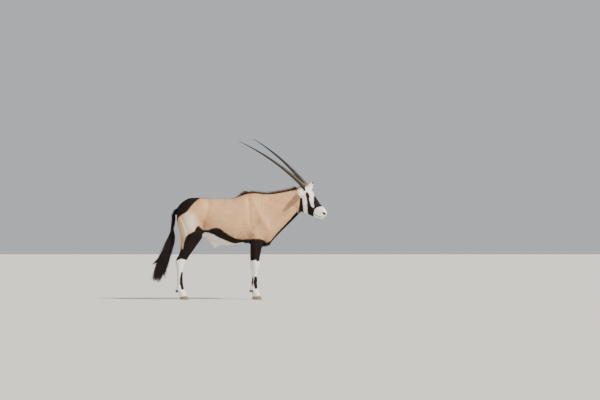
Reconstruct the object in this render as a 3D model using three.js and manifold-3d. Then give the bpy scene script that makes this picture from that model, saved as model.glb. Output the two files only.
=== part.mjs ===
// A life-size gemsbok bull that stands square and still, its head turned a little to its right.
// Millimetres, +X towards the head, +Y to the animal's left, +Z up. Every hoof rests flat on z = 0.
import * as THREE from "three";
import { mergeVertices } from "three/addons/utils/BufferGeometryUtils.js";
import Module from "manifold-3d";

const wasm = await Module();
wasm.setup();

const DEGREE = Math.PI / 180;
const GAP = 0.3; // between a piece and what carries it
const SEAM = 0.5; // growth of a body that another piece is cut back from

// Head: how it is carried
const HEAD_PIVOT = new THREE.Vector3(671, -14, 0); // where the nape turns
const HEAD_TURN = -22 * DEGREE;
const HEAD_TILT = 7 * DEGREE;
const TILT_HEIGHT = 1130;

// Horns
const HORN_LENGTH = 892;
const HORN_BASE = 27;
const HORN_TIP = 2.2;
const HORN_SPREAD = 10.5 * DEGREE;
const HORN_RISE = 47.5 * DEGREE;
const HORN_BEND = 20 * DEGREE;
const HORN_RINGS = 13;
const HORN_SIDES = 8;
const RINGED_SHARE = 0.58;
const RING_DEPTH = 1.7;
const HORN_ROOT = [80, 30, 1244];
const HORN_BURR = 0.03; // share of its length over which the root swells

// Eyes, nose and ears, in the head's own frame: forward, to the left, up
const EYE_RADIUS = 19;
const EYE_PLACE = [129, 49, 1149];
const NOSTRIL_PLACE = [302, 28, 947];
const MOUTH_DEPTH = 7;
const EAR_LENGTH = 188;
const EAR_WIDTH = 70;
const EAR_WALL = 4.5;
const EAR_PLACE = [40, 60, 1190];
const EAR_POSE = {
  left: { lift: 27 * DEGREE, yaw: -11 * DEGREE, open: 84 * DEGREE },
  right: { lift: -4 * DEGREE, yaw: -12 * DEGREE, open: 62 * DEGREE },
};

// Feet
const HOOF_HEIGHT = 46;
const HOOF_LENGTH = 92;
const CLAW_WIDTH = 29;
const CLAW_SPLIT = 3.5;

const V = (x, y, z) => new THREE.Vector3(x, y, z);

// A geometry as a solid, with its faces turned out
function solid(geometry) {
  const bare = geometry.clone();
  bare.deleteAttribute("normal");
  bare.deleteAttribute("uv");
  const merged = mergeVertices(bare, 1e-3);
  const faces = new Uint32Array(merged.index.array);
  const points = merged.attributes.position.array;
  const make = () =>
    new wasm.Manifold(
      new wasm.Mesh({ numProp: 3, vertProperties: points, triVerts: faces }),
    );
  const made = make();
  if (made.volume() > 0) return made;
  faces.reverse();
  return make();
}

const join = (...pieces) => pieces.reduce((a, b) => a.add(b));

const largest = (made) =>
  made.decompose().sort((a, b) => b.volume() - a.volume())[0];

// Rings of points, closed into a body with a fan at each end
function loft(rings) {
  const sides = rings[0].length;
  const points = rings.flat();
  const faces = [];
  for (let r = 0; r + 1 < rings.length; r++)
    for (let i = 0; i < sides; i++) {
      const a = r * sides + i;
      const b = r * sides + ((i + 1) % sides);
      faces.push(a, b, b + sides, a, b + sides, a + sides);
    }
  for (const r of [0, rings.length - 1]) {
    const middle = V(0, 0, 0);
    rings[r].forEach((p) => middle.addScaledVector(p, 1 / sides));
    points.push(middle);
    for (let i = 0; i < sides; i++) {
      const pair = [r * sides + i, r * sides + ((i + 1) % sides)];
      if (r === 0) pair.reverse();
      faces.push(...pair, points.length - 1);
    }
  }
  const geometry = new THREE.BufferGeometry().setFromPoints(points);
  geometry.setIndex(faces);
  return solid(geometry);
}

// A hoop is one section of a limb or of the trunk: its two ends in the middle plane as [x, z],
// its half width, how far the plane lies to the side, its turn about the upright, how far down
// it is widest, and how square each end is
const HOOP = { side: 0, turn: 0, wide: 0.5, first: 2, last: 2 };
const KEYS = ["ax", "az", "bx", "bz", "width", "side", "turn", "wide", "first", "last"];
const hoop = (a, b, width, more = {}) => ({
  ...HOOP,
  ax: a[0],
  az: a[1],
  bx: b[0],
  bz: b[1],
  width,
  ...more,
});

const power = (value, exponent) =>
  Math.sign(value) * Math.abs(value) ** (2 / exponent);

function ringOf(h, sides, grow) {
  const across = V(-Math.sin(h.turn), Math.cos(h.turn), 0);
  const first = V(h.ax, h.side, h.az);
  const last = V(h.bx, h.side, h.bz);
  const middle = first.clone().lerp(last, h.wide);
  return Array.from({ length: sides }, (_, i) => {
    const angle = (2 * Math.PI * i) / sides;
    const end = Math.cos(angle) > 0 ? first : last;
    const square = Math.cos(angle) > 0 ? h.first : h.last;
    const reach = Math.abs(power(Math.cos(angle), square));
    const point = middle.clone().lerp(end, reach);
    point.addScaledVector(across, h.width * power(Math.sin(angle), square));
    const out = point.clone().sub(middle).normalize();
    return point.addScaledVector(out, grow);
  });
}

// A body through hoops, with a smooth run of rings about a step apart
function hooped(hoops, { sides, step, grow = 0, shape }) {
  const places = [0];
  for (let i = 1; i < hoops.length; i++) {
    const [p, q] = [hoops[i - 1], hoops[i]];
    const run = Math.hypot(
      (q.ax + q.bx - p.ax - p.bx) / 2,
      (q.az + q.bz - p.az - p.bz) / 2,
      q.side - p.side,
    );
    places.push(places[i - 1] + run);
  }
  const values = hoops.flatMap((h) => KEYS.map((key) => h[key]));
  const between = new THREE.CubicInterpolant(places, values, KEYS.length);
  const rings = [];
  for (let i = 0; i < hoops.length; i++) {
    const gap = (places[i + 1] ?? places[i]) - places[i];
    const parts = Math.max(1, Math.round(gap / step));
    for (let k = 0; k < parts; k++) {
      const at = places[i] + (gap * k) / parts;
      const found = Array.from(between.evaluate(at));
      const h = Object.fromEntries(KEYS.map((key, n) => [key, found[n]]));
      rings.push(ringOf(h, sides, grow));
    }
  }
  if (shape) rings.flat().forEach(shape);
  for (const [end, next] of [[0, 1], [rings.length - 1, rings.length - 2]]) {
    const out = rings[end][0].clone().sub(rings[next][0]).normalize();
    rings[end].forEach((p) => p.addScaledVector(out, grow));
  }
  return loft(rings);
}

// A ball stretched along the axes, placed and turned
function ball(centre, radii, { turn = [0, 0, 0], detail = 14, grow = 0 } = {}) {
  const geometry = new THREE.SphereGeometry(1, detail, Math.round(detail * 0.7));
  const [x, y, z] = radii.map((r) => r + grow);
  geometry.scale(x, y, z);
  const matrix = new THREE.Matrix4().makeRotationFromEuler(new THREE.Euler(...turn));
  matrix.setPosition(...centre);
  return solid(geometry.applyMatrix4(matrix));
}

// Everything on the far side of a plane through a point, along a direction
function beyond(point, direction) {
  const SIZE = 4000;
  const geometry = new THREE.BoxGeometry(SIZE, SIZE, SIZE);
  geometry.translate(0, 0, SIZE / 2);
  const turn = new THREE.Quaternion().setFromUnitVectors(V(0, 0, 1), direction.clone().normalize());
  geometry.applyQuaternion(turn);
  geometry.translate(point.x, point.y, point.z);
  return solid(geometry);
}

// The head's own frame: upright and straight ahead, then tilted and turned at the nape
function headMatrix() {
  const tilt = new THREE.Matrix4()
    .makeTranslation(0, 0, TILT_HEIGHT)
    .multiply(new THREE.Matrix4().makeRotationX(HEAD_TILT))
    .multiply(new THREE.Matrix4().makeTranslation(0, 0, -TILT_HEIGHT));
  return new THREE.Matrix4()
    .makeTranslation(HEAD_PIVOT.x, HEAD_PIVOT.y, HEAD_PIVOT.z)
    .multiply(new THREE.Matrix4().makeRotationZ(HEAD_TURN))
    .multiply(tilt);
}

const onHead = (made) => made.transform(headMatrix().elements);

// Trunk and neck: spine end first, belly end second, from the rump to the nape
const TRUNK = [
  hoop([-688, 1000], [-684, 905], 52),
  hoop([-668, 1040], [-664, 855], 96),
  hoop([-620, 1088], [-612, 805], 146, { wide: 0.46 }),
  hoop([-545, 1127], [-535, 752], 178, { wide: 0.46 }),
  hoop([-455, 1128], [-450, 716], 190, { wide: 0.46, last: 2.1 }),
  hoop([-362, 1122], [-362, 674], 200, { wide: 0.5, last: 2.1 }),
  hoop([-264, 1118], [-264, 622], 214, { wide: 0.54, last: 2.1 }),
  hoop([-154, 1112], [-154, 598], 222, { wide: 0.56, last: 2.1 }),
  hoop([-66, 1118], [-66, 603], 218, { wide: 0.57, first: 1.95 }),
  hoop([11, 1146], [8, 614], 205, { wide: 0.58, first: 1.85 }),
  hoop([90, 1178], [84, 622], 186, { wide: 0.58, first: 1.75 }),
  hoop([176, 1184], [172, 614], 172, { wide: 0.58, first: 1.7 }),
  hoop([253, 1176], [262, 598], 162, { wide: 0.55, first: 1.75 }),
  hoop([318, 1169], [338, 612], 148, { wide: 0.5, first: 1.8, last: 1.9, side: -1 }),
  hoop([396, 1176], [402, 682], 126, { wide: 0.46, first: 1.8, last: 1.8, side: -3 }),
  hoop([462, 1188], [470, 752], 108, { wide: 0.45, first: 1.8, last: 1.8, side: -5, turn: -4 * DEGREE }),
  hoop([520, 1198], [537, 816], 95, { wide: 0.45, first: 1.8, last: 1.8, side: -8, turn: -9 * DEGREE }),
  hoop([574, 1210], [600, 878], 85, { wide: 0.45, first: 1.8, last: 1.8, side: -11, turn: -15 * DEGREE }),
  hoop([628, 1222], [654, 934], 77, { wide: 0.45, first: 1.9, last: 1.85, side: -15, turn: -20 * DEGREE }),
  hoop([676, 1222], [696, 986], 68, { wide: 0.45, side: -24, turn: HEAD_TURN }),
  hoop([720, 1200], [728, 1020], 50, { side: -38, turn: HEAD_TURN }),
];

// Skull and muzzle in the head's own frame: brow end first, jaw end second
const SKULL = [
  hoop([-36, 1214], [-52, 1020], 54),
  hoop([-6, 1250], [-26, 990], 66, { wide: 0.42 }),
  hoop([44, 1268], [20, 966], 70, { wide: 0.4, first: 2.3, last: 1.9 }),
  hoop([96, 1251], [60, 950], 70, { wide: 0.36, first: 2.5, last: 1.8 }),
  hoop([141, 1203], [94, 937], 64, { wide: 0.34, first: 2.5, last: 1.8 }),
  hoop([174, 1152], [124, 925], 54, { wide: 0.38, first: 2.4, last: 1.9 }),
  hoop([204, 1106], [154, 914], 46, { wide: 0.42, first: 2.3, last: 2 }),
  hoop([231, 1064], [184, 903], 41, { wide: 0.46, first: 2.2, last: 2.1 }),
  hoop([258, 1033], [212, 894], 40, { wide: 0.5, first: 2.2, last: 2.2 }),
  hoop([284, 1012], [238, 888], 40, { wide: 0.52, first: 2.2, last: 2.2 }),
  hoop([301, 986], [262, 889], 36, { wide: 0.5, first: 2.3, last: 2.2 }),
  hoop([309, 966], [280, 899], 28, { wide: 0.5, first: 2.3, last: 2.2 }),
  hoop([311, 951], [292, 910], 15, { wide: 0.5, first: 2.3, last: 2.2 }),
];

// Limbs: front end first, rear end second, with each hoop's distance from the middle plane
const FORELEG = [
  hoop([246, 1060], [166, 1070], 18, { side: 56 }),
  hoop([306, 985], [150, 1000], 40, { side: 98 }),
  hoop([348, 880], [142, 890], 58, { side: 117 }),
  hoop([350, 790], [134, 792], 64, { side: 118 }),
  hoop([316, 716], [112, 708], 60, { side: 118 }),
  hoop([282, 655], [110, 652], 54, { side: 120 }),
  hoop([262, 604], [126, 604], 50, { side: 120 }),
  hoop([251, 550], [131, 550], 43, { side: 117 }),
  hoop([237, 480], [135, 480], 37, { side: 113 }),
  hoop([229, 430], [142, 430], 36, { side: 110 }),
  hoop([231, 385], [147, 385], 40, { side: 108, first: 2.4 }),
  hoop([226, 340], [153, 340], 37, { side: 106, first: 2.4 }),
  hoop([210, 302], [160, 302], 28, { side: 105 }),
  hoop([206, 250], [161, 250], 23, { side: 104 }),
  hoop([203, 180], [156, 180], 22, { side: 103 }),
  hoop([207, 140], [149, 140], 27, { side: 102 }),
  hoop([210, 112], [144, 106], 32, { side: 102, last: 2.3 }),
  hoop([221, 88], [157, 80], 29, { side: 102 }),
  hoop([233, 66], [171, 57], 30, { side: 102 }),
  hoop([245, 44], [172, 34], 33, { side: 102, first: 2.3, last: 2.3 }),
  hoop([250, 24], [176, 16], 32, { side: 102 }),
];
const HIND_LEG = [
  hoop([-390, 1040], [-600, 1050], 60, { side: 96 }),
  hoop([-350, 950], [-676, 968], 94, { side: 96 }),
  hoop([-342, 860], [-690, 882], 100, { side: 98 }),
  hoop([-358, 772], [-671, 812], 96, { side: 102 }),
  hoop([-392, 704], [-651, 740], 84, { side: 106 }),
  hoop([-427, 652], [-642, 672], 70, { side: 108 }),
  hoop([-470, 590], [-640, 606], 56, { side: 108 }),
  hoop([-510, 530], [-644, 546], 46, { side: 106 }),
  hoop([-545, 476], [-662, 492], 38, { side: 103 }),
  hoop([-571, 434], [-684, 452], 35, { side: 101, last: 1.7 }),
  hoop([-587, 398], [-691, 418], 35, { side: 99, first: 2.3, last: 1.8 }),
  hoop([-603, 358], [-683, 370], 32, { side: 98, first: 2.3 }),
  hoop([-614, 312], [-675, 318], 27, { side: 97 }),
  hoop([-616, 247], [-670, 250], 23, { side: 96 }),
  hoop([-613, 178], [-672, 180], 22.5, { side: 95 }),
  hoop([-606, 140], [-676, 138], 27, { side: 95 }),
  hoop([-598, 112], [-682, 104], 32, { side: 95, last: 2.3 }),
  hoop([-584, 88], [-663, 79], 29, { side: 95 }),
  hoop([-572, 66], [-645, 57], 30, { side: 95 }),
  hoop([-560, 44], [-640, 34], 33, { side: 95, first: 2.3, last: 2.3 }),
  hoop([-556, 24], [-636, 16], 32, { side: 95 }),
];
const KNEE_HEIGHT = 650; // above this a far leg stands as the near one does
const LIMBS = {
  fore: { hoops: FORELEG, farShift: -24, toe: 258, heelRise: 0.13 },
  hind: { hoops: HIND_LEG, farShift: -16, toe: -548, heelRise: 0.13 },
};

// One leg's hoops on its side: +1 left, -1 right. The left feet stand a little further back.
function legHoops(limb, sign) {
  return LIMBS[limb].hoops.map((h) => {
    const drop = THREE.MathUtils.clamp(1 - h.az / KNEE_HEIGHT, 0, 1);
    const shift = sign > 0 ? LIMBS[limb].farShift * Math.min(1, 2.5 * drop) : 0;
    return { ...h, ax: h.ax + shift, bx: h.bx + shift, side: sign * h.side };
  });
}

// The sheath's pointed fold under the belly
const SHEATH = [
  hoop([-318, 706], [-404, 708], 30),
  hoop([-205, 650], [-376, 672], 36),
  hoop([-196, 606], [-340, 634], 32),
  hoop([-236, 582], [-306, 602], 20),
  hoop([-262, 566], [-288, 578], 9),
];

const bodyPieces = (grow) => [
  hooped(TRUNK, { sides: 22, step: 66, grow }),
  hooped(SHEATH, { sides: 10, step: 40, grow }),
  ...["fore", "hind"].flatMap((limb) =>
    [1, -1].map((sign) => hooped(legHoops(limb, sign), { sides: 12, step: 52, grow })),
  ),
];

const bothSides = (make) => [1, -1].map(make);

// Rounded rises and hollows of the head, on both sides: place, reach and height
const SWELLS = [
  { at: [118, 50, 1178], reach: 26, high: 11 }, // brow
  { at: [146, 42, 1150], reach: 18, high: 4 }, // in front of the eye
  { at: [72, 66, 1168], reach: 26, high: -7 }, // temple
  { at: [150, 46, 1100], reach: 30, high: -7 }, // below the eye
  { at: [62, 62, 1040], reach: 48, high: 10 }, // jaw muscle
  { at: [140, 44, 1010], reach: 30, high: -5 }, // cheek
  { at: [74, 32, 1262], reach: 36, high: 21, way: [0.15, 0.2, 0.95] }, // root of the horn
  { at: [290, 28, 958], reach: 18, high: 8 }, // wing of the nostril
  { at: [240, 30, 900], reach: 24, high: 5 }, // lower lip
];
function swell(point) {
  const out = V(0, 0, 0);
  for (const { at, reach, high, way = [0.2, 0.9, 0.3] } of SWELLS)
    for (const s of [1, -1]) {
      const far = point.distanceTo(V(at[0], at[1] * s, at[2])) / reach;
      out.add(V(way[0], way[1] * s, way[2]).multiplyScalar(high * Math.exp(-far * far)));
    }
  return point.add(out);
}
const headPieces = (grow) => [hooped(SKULL, { sides: 24, step: 23, grow, shape: swell })];

// Upper and lower lid: two thin crescents that lean over the eyeball
function lids(sign) {
  const LID = { reach: 19, thick: 4.6, turns: 9 };
  const arcs = [
    { from: -14, to: 196, squash: 0.86 },
    { from: 172, to: 368, squash: 0.68 },
  ];
  return arcs.map(({ from, to, squash }) => {
    const rings = [];
    for (let i = 0; i <= LID.turns; i++) {
      const angle = (from + ((to - from) * i) / LID.turns) * DEGREE;
      const thick = LID.thick * (0.35 + 0.65 * Math.sin((Math.PI * i) / LID.turns));
      const ray = V(Math.cos(angle), 0, Math.sin(angle) * squash);
      const centre = V(0, 10, 0).addScaledVector(ray, LID.reach);
      rings.push(
        Array.from({ length: 6 }, (_, k) => {
          const round = (k * Math.PI) / 3;
          return centre
            .clone()
            .addScaledVector(ray, thick * Math.cos(round))
            .add(V(0, 1.6 * thick * Math.sin(round), 0));
        }),
      );
    }
    for (const ring of rings)
      for (const p of ring) {
        p.applyAxisAngle(V(0, 1, 0), 35 * DEGREE);
        p.y *= sign;
        p.add(V(EYE_PLACE[0], EYE_PLACE[1] * sign, EYE_PLACE[2]));
      }
    return loft(rings);
  });
}

// The line between the lips: a thin blade that follows the mouth from corner to front
function mouthCut() {
  const stations = [[140, 955], [178, 938], [222, 920], [262, 911], [330, 908]];
  const line = new THREE.CatmullRomCurve3(stations.map(([x, z]) => V(x, 0, z)));
  const THICK = 1.1;
  const spots = line.getPoints(10);
  const edge = [
    ...spots.map((p) => [p.x, p.z + THICK]),
    ...spots.reverse().map((p) => [p.x, p.z - THICK]),
  ];
  const shape = new THREE.Shape(edge.map(([x, z]) => new THREE.Vector2(x, z)));
  const blade = new THREE.ExtrudeGeometry(shape, { depth: 160, bevelEnabled: false });
  blade.rotateX(90 * DEGREE);
  blade.translate(0, 80, 0);
  return solid(blade).subtract(hooped(SKULL, { sides: 12, step: 30, grow: -MOUTH_DEPTH }));
}

const nostril = (s) =>
  ball([NOSTRIL_PLACE[0], NOSTRIL_PLACE[1] * s, NOSTRIL_PLACE[2]], [8, 15, 15], {
    turn: [0.35 * s, -0.75, 0.5 * s],
    detail: 10,
  });

const eyePlace = (s) => [EYE_PLACE[0], EYE_PLACE[1] * s, EYE_PLACE[2]];
const eye = (s, grow = 0) =>
  ball(eyePlace(s), [EYE_RADIUS, EYE_RADIUS, EYE_RADIUS], { detail: 14, grow });

// A horn: a long cone with a slight backward bend, ringed over its lower part
function horn(sign, grow = 0) {
  const STEPS = 52;
  const rings = [];
  const centre = V(HORN_ROOT[0], sign * HORN_ROOT[1], HORN_ROOT[2]);
  for (let i = 0; i <= STEPS; i++) {
    const t = i / STEPS;
    const rise = HORN_RISE - HORN_BEND * t;
    const ahead = V(
      -Math.cos(rise) * Math.cos(HORN_SPREAD),
      sign * Math.sin(HORN_SPREAD),
      Math.sin(rise) * Math.cos(HORN_SPREAD),
    ).normalize();
    const up = V(0, 0, 1).addScaledVector(ahead, -ahead.z).normalize();
    const across = up.clone().cross(ahead);
    const root = Math.min(1, 0.7 + (0.3 * t) / HORN_BURR);
    const taper = root * THREE.MathUtils.lerp(HORN_BASE, HORN_TIP, t ** 0.8);
    const fade = THREE.MathUtils.clamp((RINGED_SHARE - t) / 0.12, 0, 1);
    const wave = Math.sin((2 * Math.PI * HORN_RINGS * t) / RINGED_SHARE);
    const radius = taper + grow + RING_DEPTH * fade * wave * THREE.MathUtils.clamp(t / 0.08, 0, 1);
    rings.push(
      Array.from({ length: HORN_SIDES }, (_, k) => {
        const round = (2 * Math.PI * k) / HORN_SIDES;
        return centre
          .clone()
          .addScaledVector(up, 1.08 * radius * Math.cos(round))
          .addScaledVector(across, 0.94 * radius * Math.sin(round));
      }),
    );
    centre.addScaledVector(ahead, HORN_LENGTH / STEPS);
  }
  return loft(rings);
}

// An ear: a pointed leaf rolled into a cup, its opening turned forward
function ear(sign, { lift, yaw, open }) {
  const LONG = 9;
  const ROUND = 8;
  const point = (t, v, inset) => {
    const width = (EAR_WIDTH / 2) * Math.sin(Math.PI * Math.min(1, t * 0.62 + 0.36)) ** 0.75;
    const curl = THREE.MathUtils.lerp(124, 62, Math.min(1, t * 1.35)) * DEGREE;
    const bend = v * curl;
    const radius = width / Math.max(0.5, Math.min(1, curl / (90 * DEGREE)));
    const depth = radius * (1 - Math.cos(bend)) + inset * Math.cos(bend);
    const wide = radius * Math.sin(bend) * (1 - inset / radius);
    return V(depth, t * EAR_LENGTH - 14 * (1 - t), wide);
  };
  const rings = [];
  for (let i = 0; i <= LONG; i++) {
    const t = i / LONG;
    const wall = EAR_WALL * (1 - 0.55 * t);
    const outer = [];
    const inner = [];
    for (let k = 0; k <= ROUND; k++) {
      const v = (2 * k) / ROUND - 1;
      outer.push(point(t, v, wall / 2));
      inner.push(point(t, v, -wall / 2));
    }
    rings.push([...outer, ...inner.reverse()]);
  }
  const place = new THREE.Matrix4().makeRotationFromEuler(new THREE.Euler(lift, 0, yaw));
  for (const ring of rings)
    for (const p of ring) {
      p.applyAxisAngle(V(0, 1, 0), open - 90 * DEGREE);
      p.applyMatrix4(place);
      p.y *= sign;
      p.add(V(EAR_PLACE[0], EAR_PLACE[1] * sign, EAR_PLACE[2]));
    }
  return loft(rings);
}

// The dock, and the long hair of its end
const DOCK = [
  hoop([-640, 990], [-656, 1022], 24),
  hoop([-680, 974], [-702, 1006], 22),
  hoop([-698, 935], [-733, 948], 18),
  hoop([-709, 862], [-739, 868], 14),
  hoop([-722, 790], [-750, 796], 13),
  hoop([-735, 735], [-762, 741], 12),
];
const TUFT = [
  hoop([-720, 794], [-754, 796], 13),
  hoop([-706, 744], [-770, 748], 24),
  hoop([-694, 694], [-788, 708], 33),
  hoop([-700, 632], [-816, 656], 42),
  hoop([-722, 545], [-852, 572], 46),
  hoop([-744, 450], [-892, 488], 46),
  hoop([-772, 350], [-936, 398], 40),
  hoop([-826, 262], [-956, 308], 30),
  hoop([-876, 180], [-974, 216], 18),
];
// Locks that stray from the tuft: share of its length where each starts, and its tip
const STRAY_LOCKS = [
  { start: 0.5, tip: [-962, -14, 392] },
  { start: 0.62, tip: [-818, 22, 236] },
  { start: 0.6, tip: [-798, -20, 286] },
];

// The mane: a low strip along the crest, from the poll to the withers
const MANE = [
  hoop([58, 1180], [52, 1146], 5),
  hoop([110, 1192], [106, 1164], 8),
  hoop([176, 1197], [174, 1166], 9),
  hoop([253, 1190], [253, 1158], 9),
  hoop([318, 1181], [318, 1150], 9),
  hoop([396, 1189], [396, 1158], 9, { side: -3 }),
  hoop([462, 1200], [462, 1168], 9, { side: -5 }),
  hoop([520, 1210], [520, 1178], 9, { side: -8 }),
  hoop([574, 1224], [574, 1190], 9, { side: -11 }),
  hoop([632, 1238], [632, 1200], 8, { side: -15 }),
  hoop([660, 1236], [660, 1206], 6, { side: -18 }),
];

// Repeatable scatter for the locks
function scatter(seed) {
  let state = seed;
  return () => {
    state = (state * 16807) % 2147483647;
    return state / 2147483647;
  };
}

// One lock: flat, widest near its root, drawn out to a point along a path
const LOCK_SHARES = [0.75, 1, 0.75, 0.12];
function lock(path, across, width, thick) {
  const rings = LOCK_SHARES.map((share, i) => {
    const t = i / (LOCK_SHARES.length - 1);
    const ahead = path(Math.min(1, t + 0.05)).sub(path(Math.max(0, t - 0.05))).normalize();
    const side = across(t).addScaledVector(ahead, -across(t).dot(ahead)).normalize();
    const out = side.clone().cross(ahead);
    const at = path(t);
    return [
      at.clone().addScaledVector(side, (width / 2) * share),
      at.clone().addScaledVector(out, (thick / 2) * share),
      at.clone().addScaledVector(side, (-width / 2) * share),
      at.clone().addScaledVector(out, (-thick / 2) * share),
    ];
  });
  return loft(rings);
}

// A hoop of a run, at any share of its length
function along(hoops, share) {
  const place = THREE.MathUtils.clamp(share, 0, 1) * (hoops.length - 1);
  const i = Math.min(hoops.length - 2, Math.floor(place));
  return Object.fromEntries(
    KEYS.map((key) => [key, THREE.MathUtils.lerp(hoops[i][key], hoops[i + 1][key], place - i)]),
  );
}

// A place in the tuft: how far down, which way round and how far out
function inTuft(share, round, out) {
  const h = along(TUFT, share);
  const first = V(h.ax, 0, h.az);
  const last = V(h.bx, 0, h.bz);
  const point = first.clone().lerp(last, 0.5 - 0.5 * out * Math.cos(round));
  return point.add(V(0, h.width * out * Math.sin(round), 0));
}

const TUFT_LOCKS = 25;
const TUFT_LOCK = { width: 38, thick: 13, share: 0.36 };
const TUFT_CORE = 0.5;
function strayLock({ start, tip }) {
  const first = inTuft(start, 0, 0);
  const last = V(...tip);
  const down = inTuft(start + 0.14, 0, 0);
  const path = (t) => first.clone().lerp(down, t).lerp(last, t ** 1.3);
  return lock(path, () => V(0, 1, 0), TUFT_LOCK.width * 0.7, TUFT_LOCK.thick);
}
function tuftLocks() {
  const random = scatter(41);
  return Array.from({ length: TUFT_LOCKS }, (_, i) => {
    const start = 0.1 + 0.62 * (i / TUFT_LOCKS) + 0.02 * random();
    const length = Math.min(1.02 - start, TUFT_LOCK.share * (0.8 + 0.45 * random()));
    const round = i * 2.4 + 0.5 * random();
    const twist = 0.5 * (random() - 0.5);
    const reach = 0.8 + 0.2 * random();
    const root = TUFT_CORE * 0.55;
    const path = (t) =>
      inTuft(start + length * t, round + twist * t, root + (reach - root) * t ** 0.7);
    const across = (t) => V(-Math.sin(round + twist * t), Math.cos(round + twist * t), 0);
    return lock(path, across, TUFT_LOCK.width * (0.8 + 0.4 * random()), TUFT_LOCK.thick);
  });
}
const tuftCore = () =>
  hooped(
    TUFT.slice(0, -1).map((h) => {
      const a = [THREE.MathUtils.lerp(h.ax, h.bx, 0.25), THREE.MathUtils.lerp(h.az, h.bz, 0.25)];
      const b = [THREE.MathUtils.lerp(h.ax, h.bx, 0.75), THREE.MathUtils.lerp(h.az, h.bz, 0.75)];
      return hoop(a, b, h.width * TUFT_CORE);
    }),
    { sides: 8, step: 90 },
  );

const MANE_LOCKS = 26;
const MANE_LOCK = { long: 50, rise: 15, width: 19, thick: 7 };
function maneLocks() {
  const random = scatter(7);
  return Array.from({ length: MANE_LOCKS }, (_, i) => {
    const h = along(MANE, 0.03 + (0.95 * (i + 0.4 * random())) / MANE_LOCKS);
    const lean = (i % 2 ? 1 : -1) * (2 + 5 * random());
    const rise = MANE_LOCK.rise * (0.75 + 0.5 * random());
    const long = MANE_LOCK.long * (0.85 + 0.3 * random());
    const path = (t) =>
      V(h.ax - long * (t - 0.15), h.side + lean * (0.4 + t), h.az - 9 + rise * Math.sin(1.9 * t));
    const across = () => V(0, 0.8, Math.sign(lean) * -0.6);
    return lock(path, across, MANE_LOCK.width, MANE_LOCK.thick);
  });
}

// One claw of a cloven hoof, flat below and cut along the hairline above
function claw(limb, sign, inner) {
  const { toe } = LIMBS[limb];
  const shift = sign > 0 ? LIMBS[limb].farShift : 0;
  const side = sign * LIMBS[limb].hoops.at(-1).side + inner * (CLAW_WIDTH / 2 + CLAW_SPLIT / 2);
  const level = (z, front, rear, width) =>
    Array.from({ length: 16 }, (_, k) => {
      const round = (2 * Math.PI * k) / 16;
      const along = (Math.cos(round) + 1) / 2;
      const narrow = 1 - 0.42 * along ** 2.4;
      const lean = inner * 0.12 * width * along ** 2;
      return V(
        toe + shift + THREE.MathUtils.lerp(rear, front, along),
        side - lean + width * 0.5 * power(Math.sin(round), 2.3) * narrow,
        z,
      );
    });
  return loft([
    level(0, 0, -HOOF_LENGTH, CLAW_WIDTH),
    level(6, 0, -HOOF_LENGTH + 1, CLAW_WIDTH + 1),
    level(26, -11, -HOOF_LENGTH + 4, CLAW_WIDTH),
    level(HOOF_HEIGHT + 4, -22, -HOOF_LENGTH + 8, CLAW_WIDTH - 1),
  ]);
}

// The hairline: a plane that falls towards the heel
function hairline(limb, sign, offset) {
  const shift = sign > 0 ? LIMBS[limb].farShift : 0;
  const rise = LIMBS[limb].heelRise;
  const direction = V(-rise * 2.2, 0, 1).normalize();
  const point = V(LIMBS[limb].toe + shift - 20, 0, HOOF_HEIGHT);
  return beyond(point.addScaledVector(direction, offset), direction);
}

// A dewclaw: a small blunt cone behind the fetlock
function dewclaw(limb, sign, inner, grow = 0) {
  const low = LIMBS[limb].hoops.find((h) => h.last === 2.3);
  const shift = sign > 0 ? LIMBS[limb].farShift : 0;
  return ball([low.bx + shift + 4, sign * low.side + inner * 18, low.bz - 12], [13, 10, 17], {
    turn: [0, 0.5, 0],
    detail: 8,
    grow,
  });
}

// Where the body is parted. Each plane is a point and the direction of the node beyond it.
const NECK_PLANE = [V(262, 0, 960), V(0.94, 0, 0.34)];
const NAPE_PLANE = [V(-4, 0, 1110), V(0.995, 0, 0.1)];
const LEG_PLANES = {
  fore: { point: V(0, 100, 648), slope: 0.55, front: 300, rear: 92 },
  hind: { point: V(0, 100, 782), slope: 0.85, front: -392, rear: -900 },
};

function legSpace(limb, sign, grow) {
  const { point, slope, front, rear } = LEG_PLANES[limb];
  const down = V(0, sign * slope, -1).normalize();
  const start = V(0, sign * point.y, point.z).addScaledVector(down, -grow);
  return beyond(start, down)
    .subtract(beyond(V(0, sign * (GAP / 2 - 2 * grow), 0), V(0, -sign, 0)))
    .subtract(beyond(V(front + grow, 0, 0), V(1, 0, 0)))
    .subtract(beyond(V(rear - grow, 0, 0), V(-1, 0, 0)));
}

// Materials: colour, roughness
const material = (color, roughness) => new THREE.MeshStandardMaterial({ color, roughness, metalness: 0 });
const FINISH = {
  coat: material(0xb9a188, 0.85),
  head: material(0xe8e2d6, 0.85),
  leg: material(0x241c19, 0.85),
  hair: material(0x14100f, 0.7),
  horn: material(0x3a2f28, 0.55),
  hoof: material(0x8d7b60, 0.5),
  eye: material(0x120b08, 0.1),
};

const gemsbok = new THREE.Group();
const bodies = {};
function place(name, made, finish) {
  const kept = largest(made);
  bodies[name] = kept;
  const { vertProperties, triVerts, numProp } = kept.getMesh();
  const points = new Float32Array((vertProperties.length / numProp) * 3);
  for (let i = 0; i < points.length / 3; i++)
    points.set(vertProperties.subarray(i * numProp, i * numProp + 3), i * 3);
  const geometry = new THREE.BufferGeometry();
  geometry.setAttribute("position", new THREE.BufferAttribute(points, 3));
  geometry.setIndex(new THREE.BufferAttribute(new Uint32Array(triVerts), 1));
  geometry.computeVertexNormals();
  const mesh = new THREE.Mesh(geometry, FINISH[finish]);
  mesh.name = name;
  gemsbok.add(mesh);
}

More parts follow.
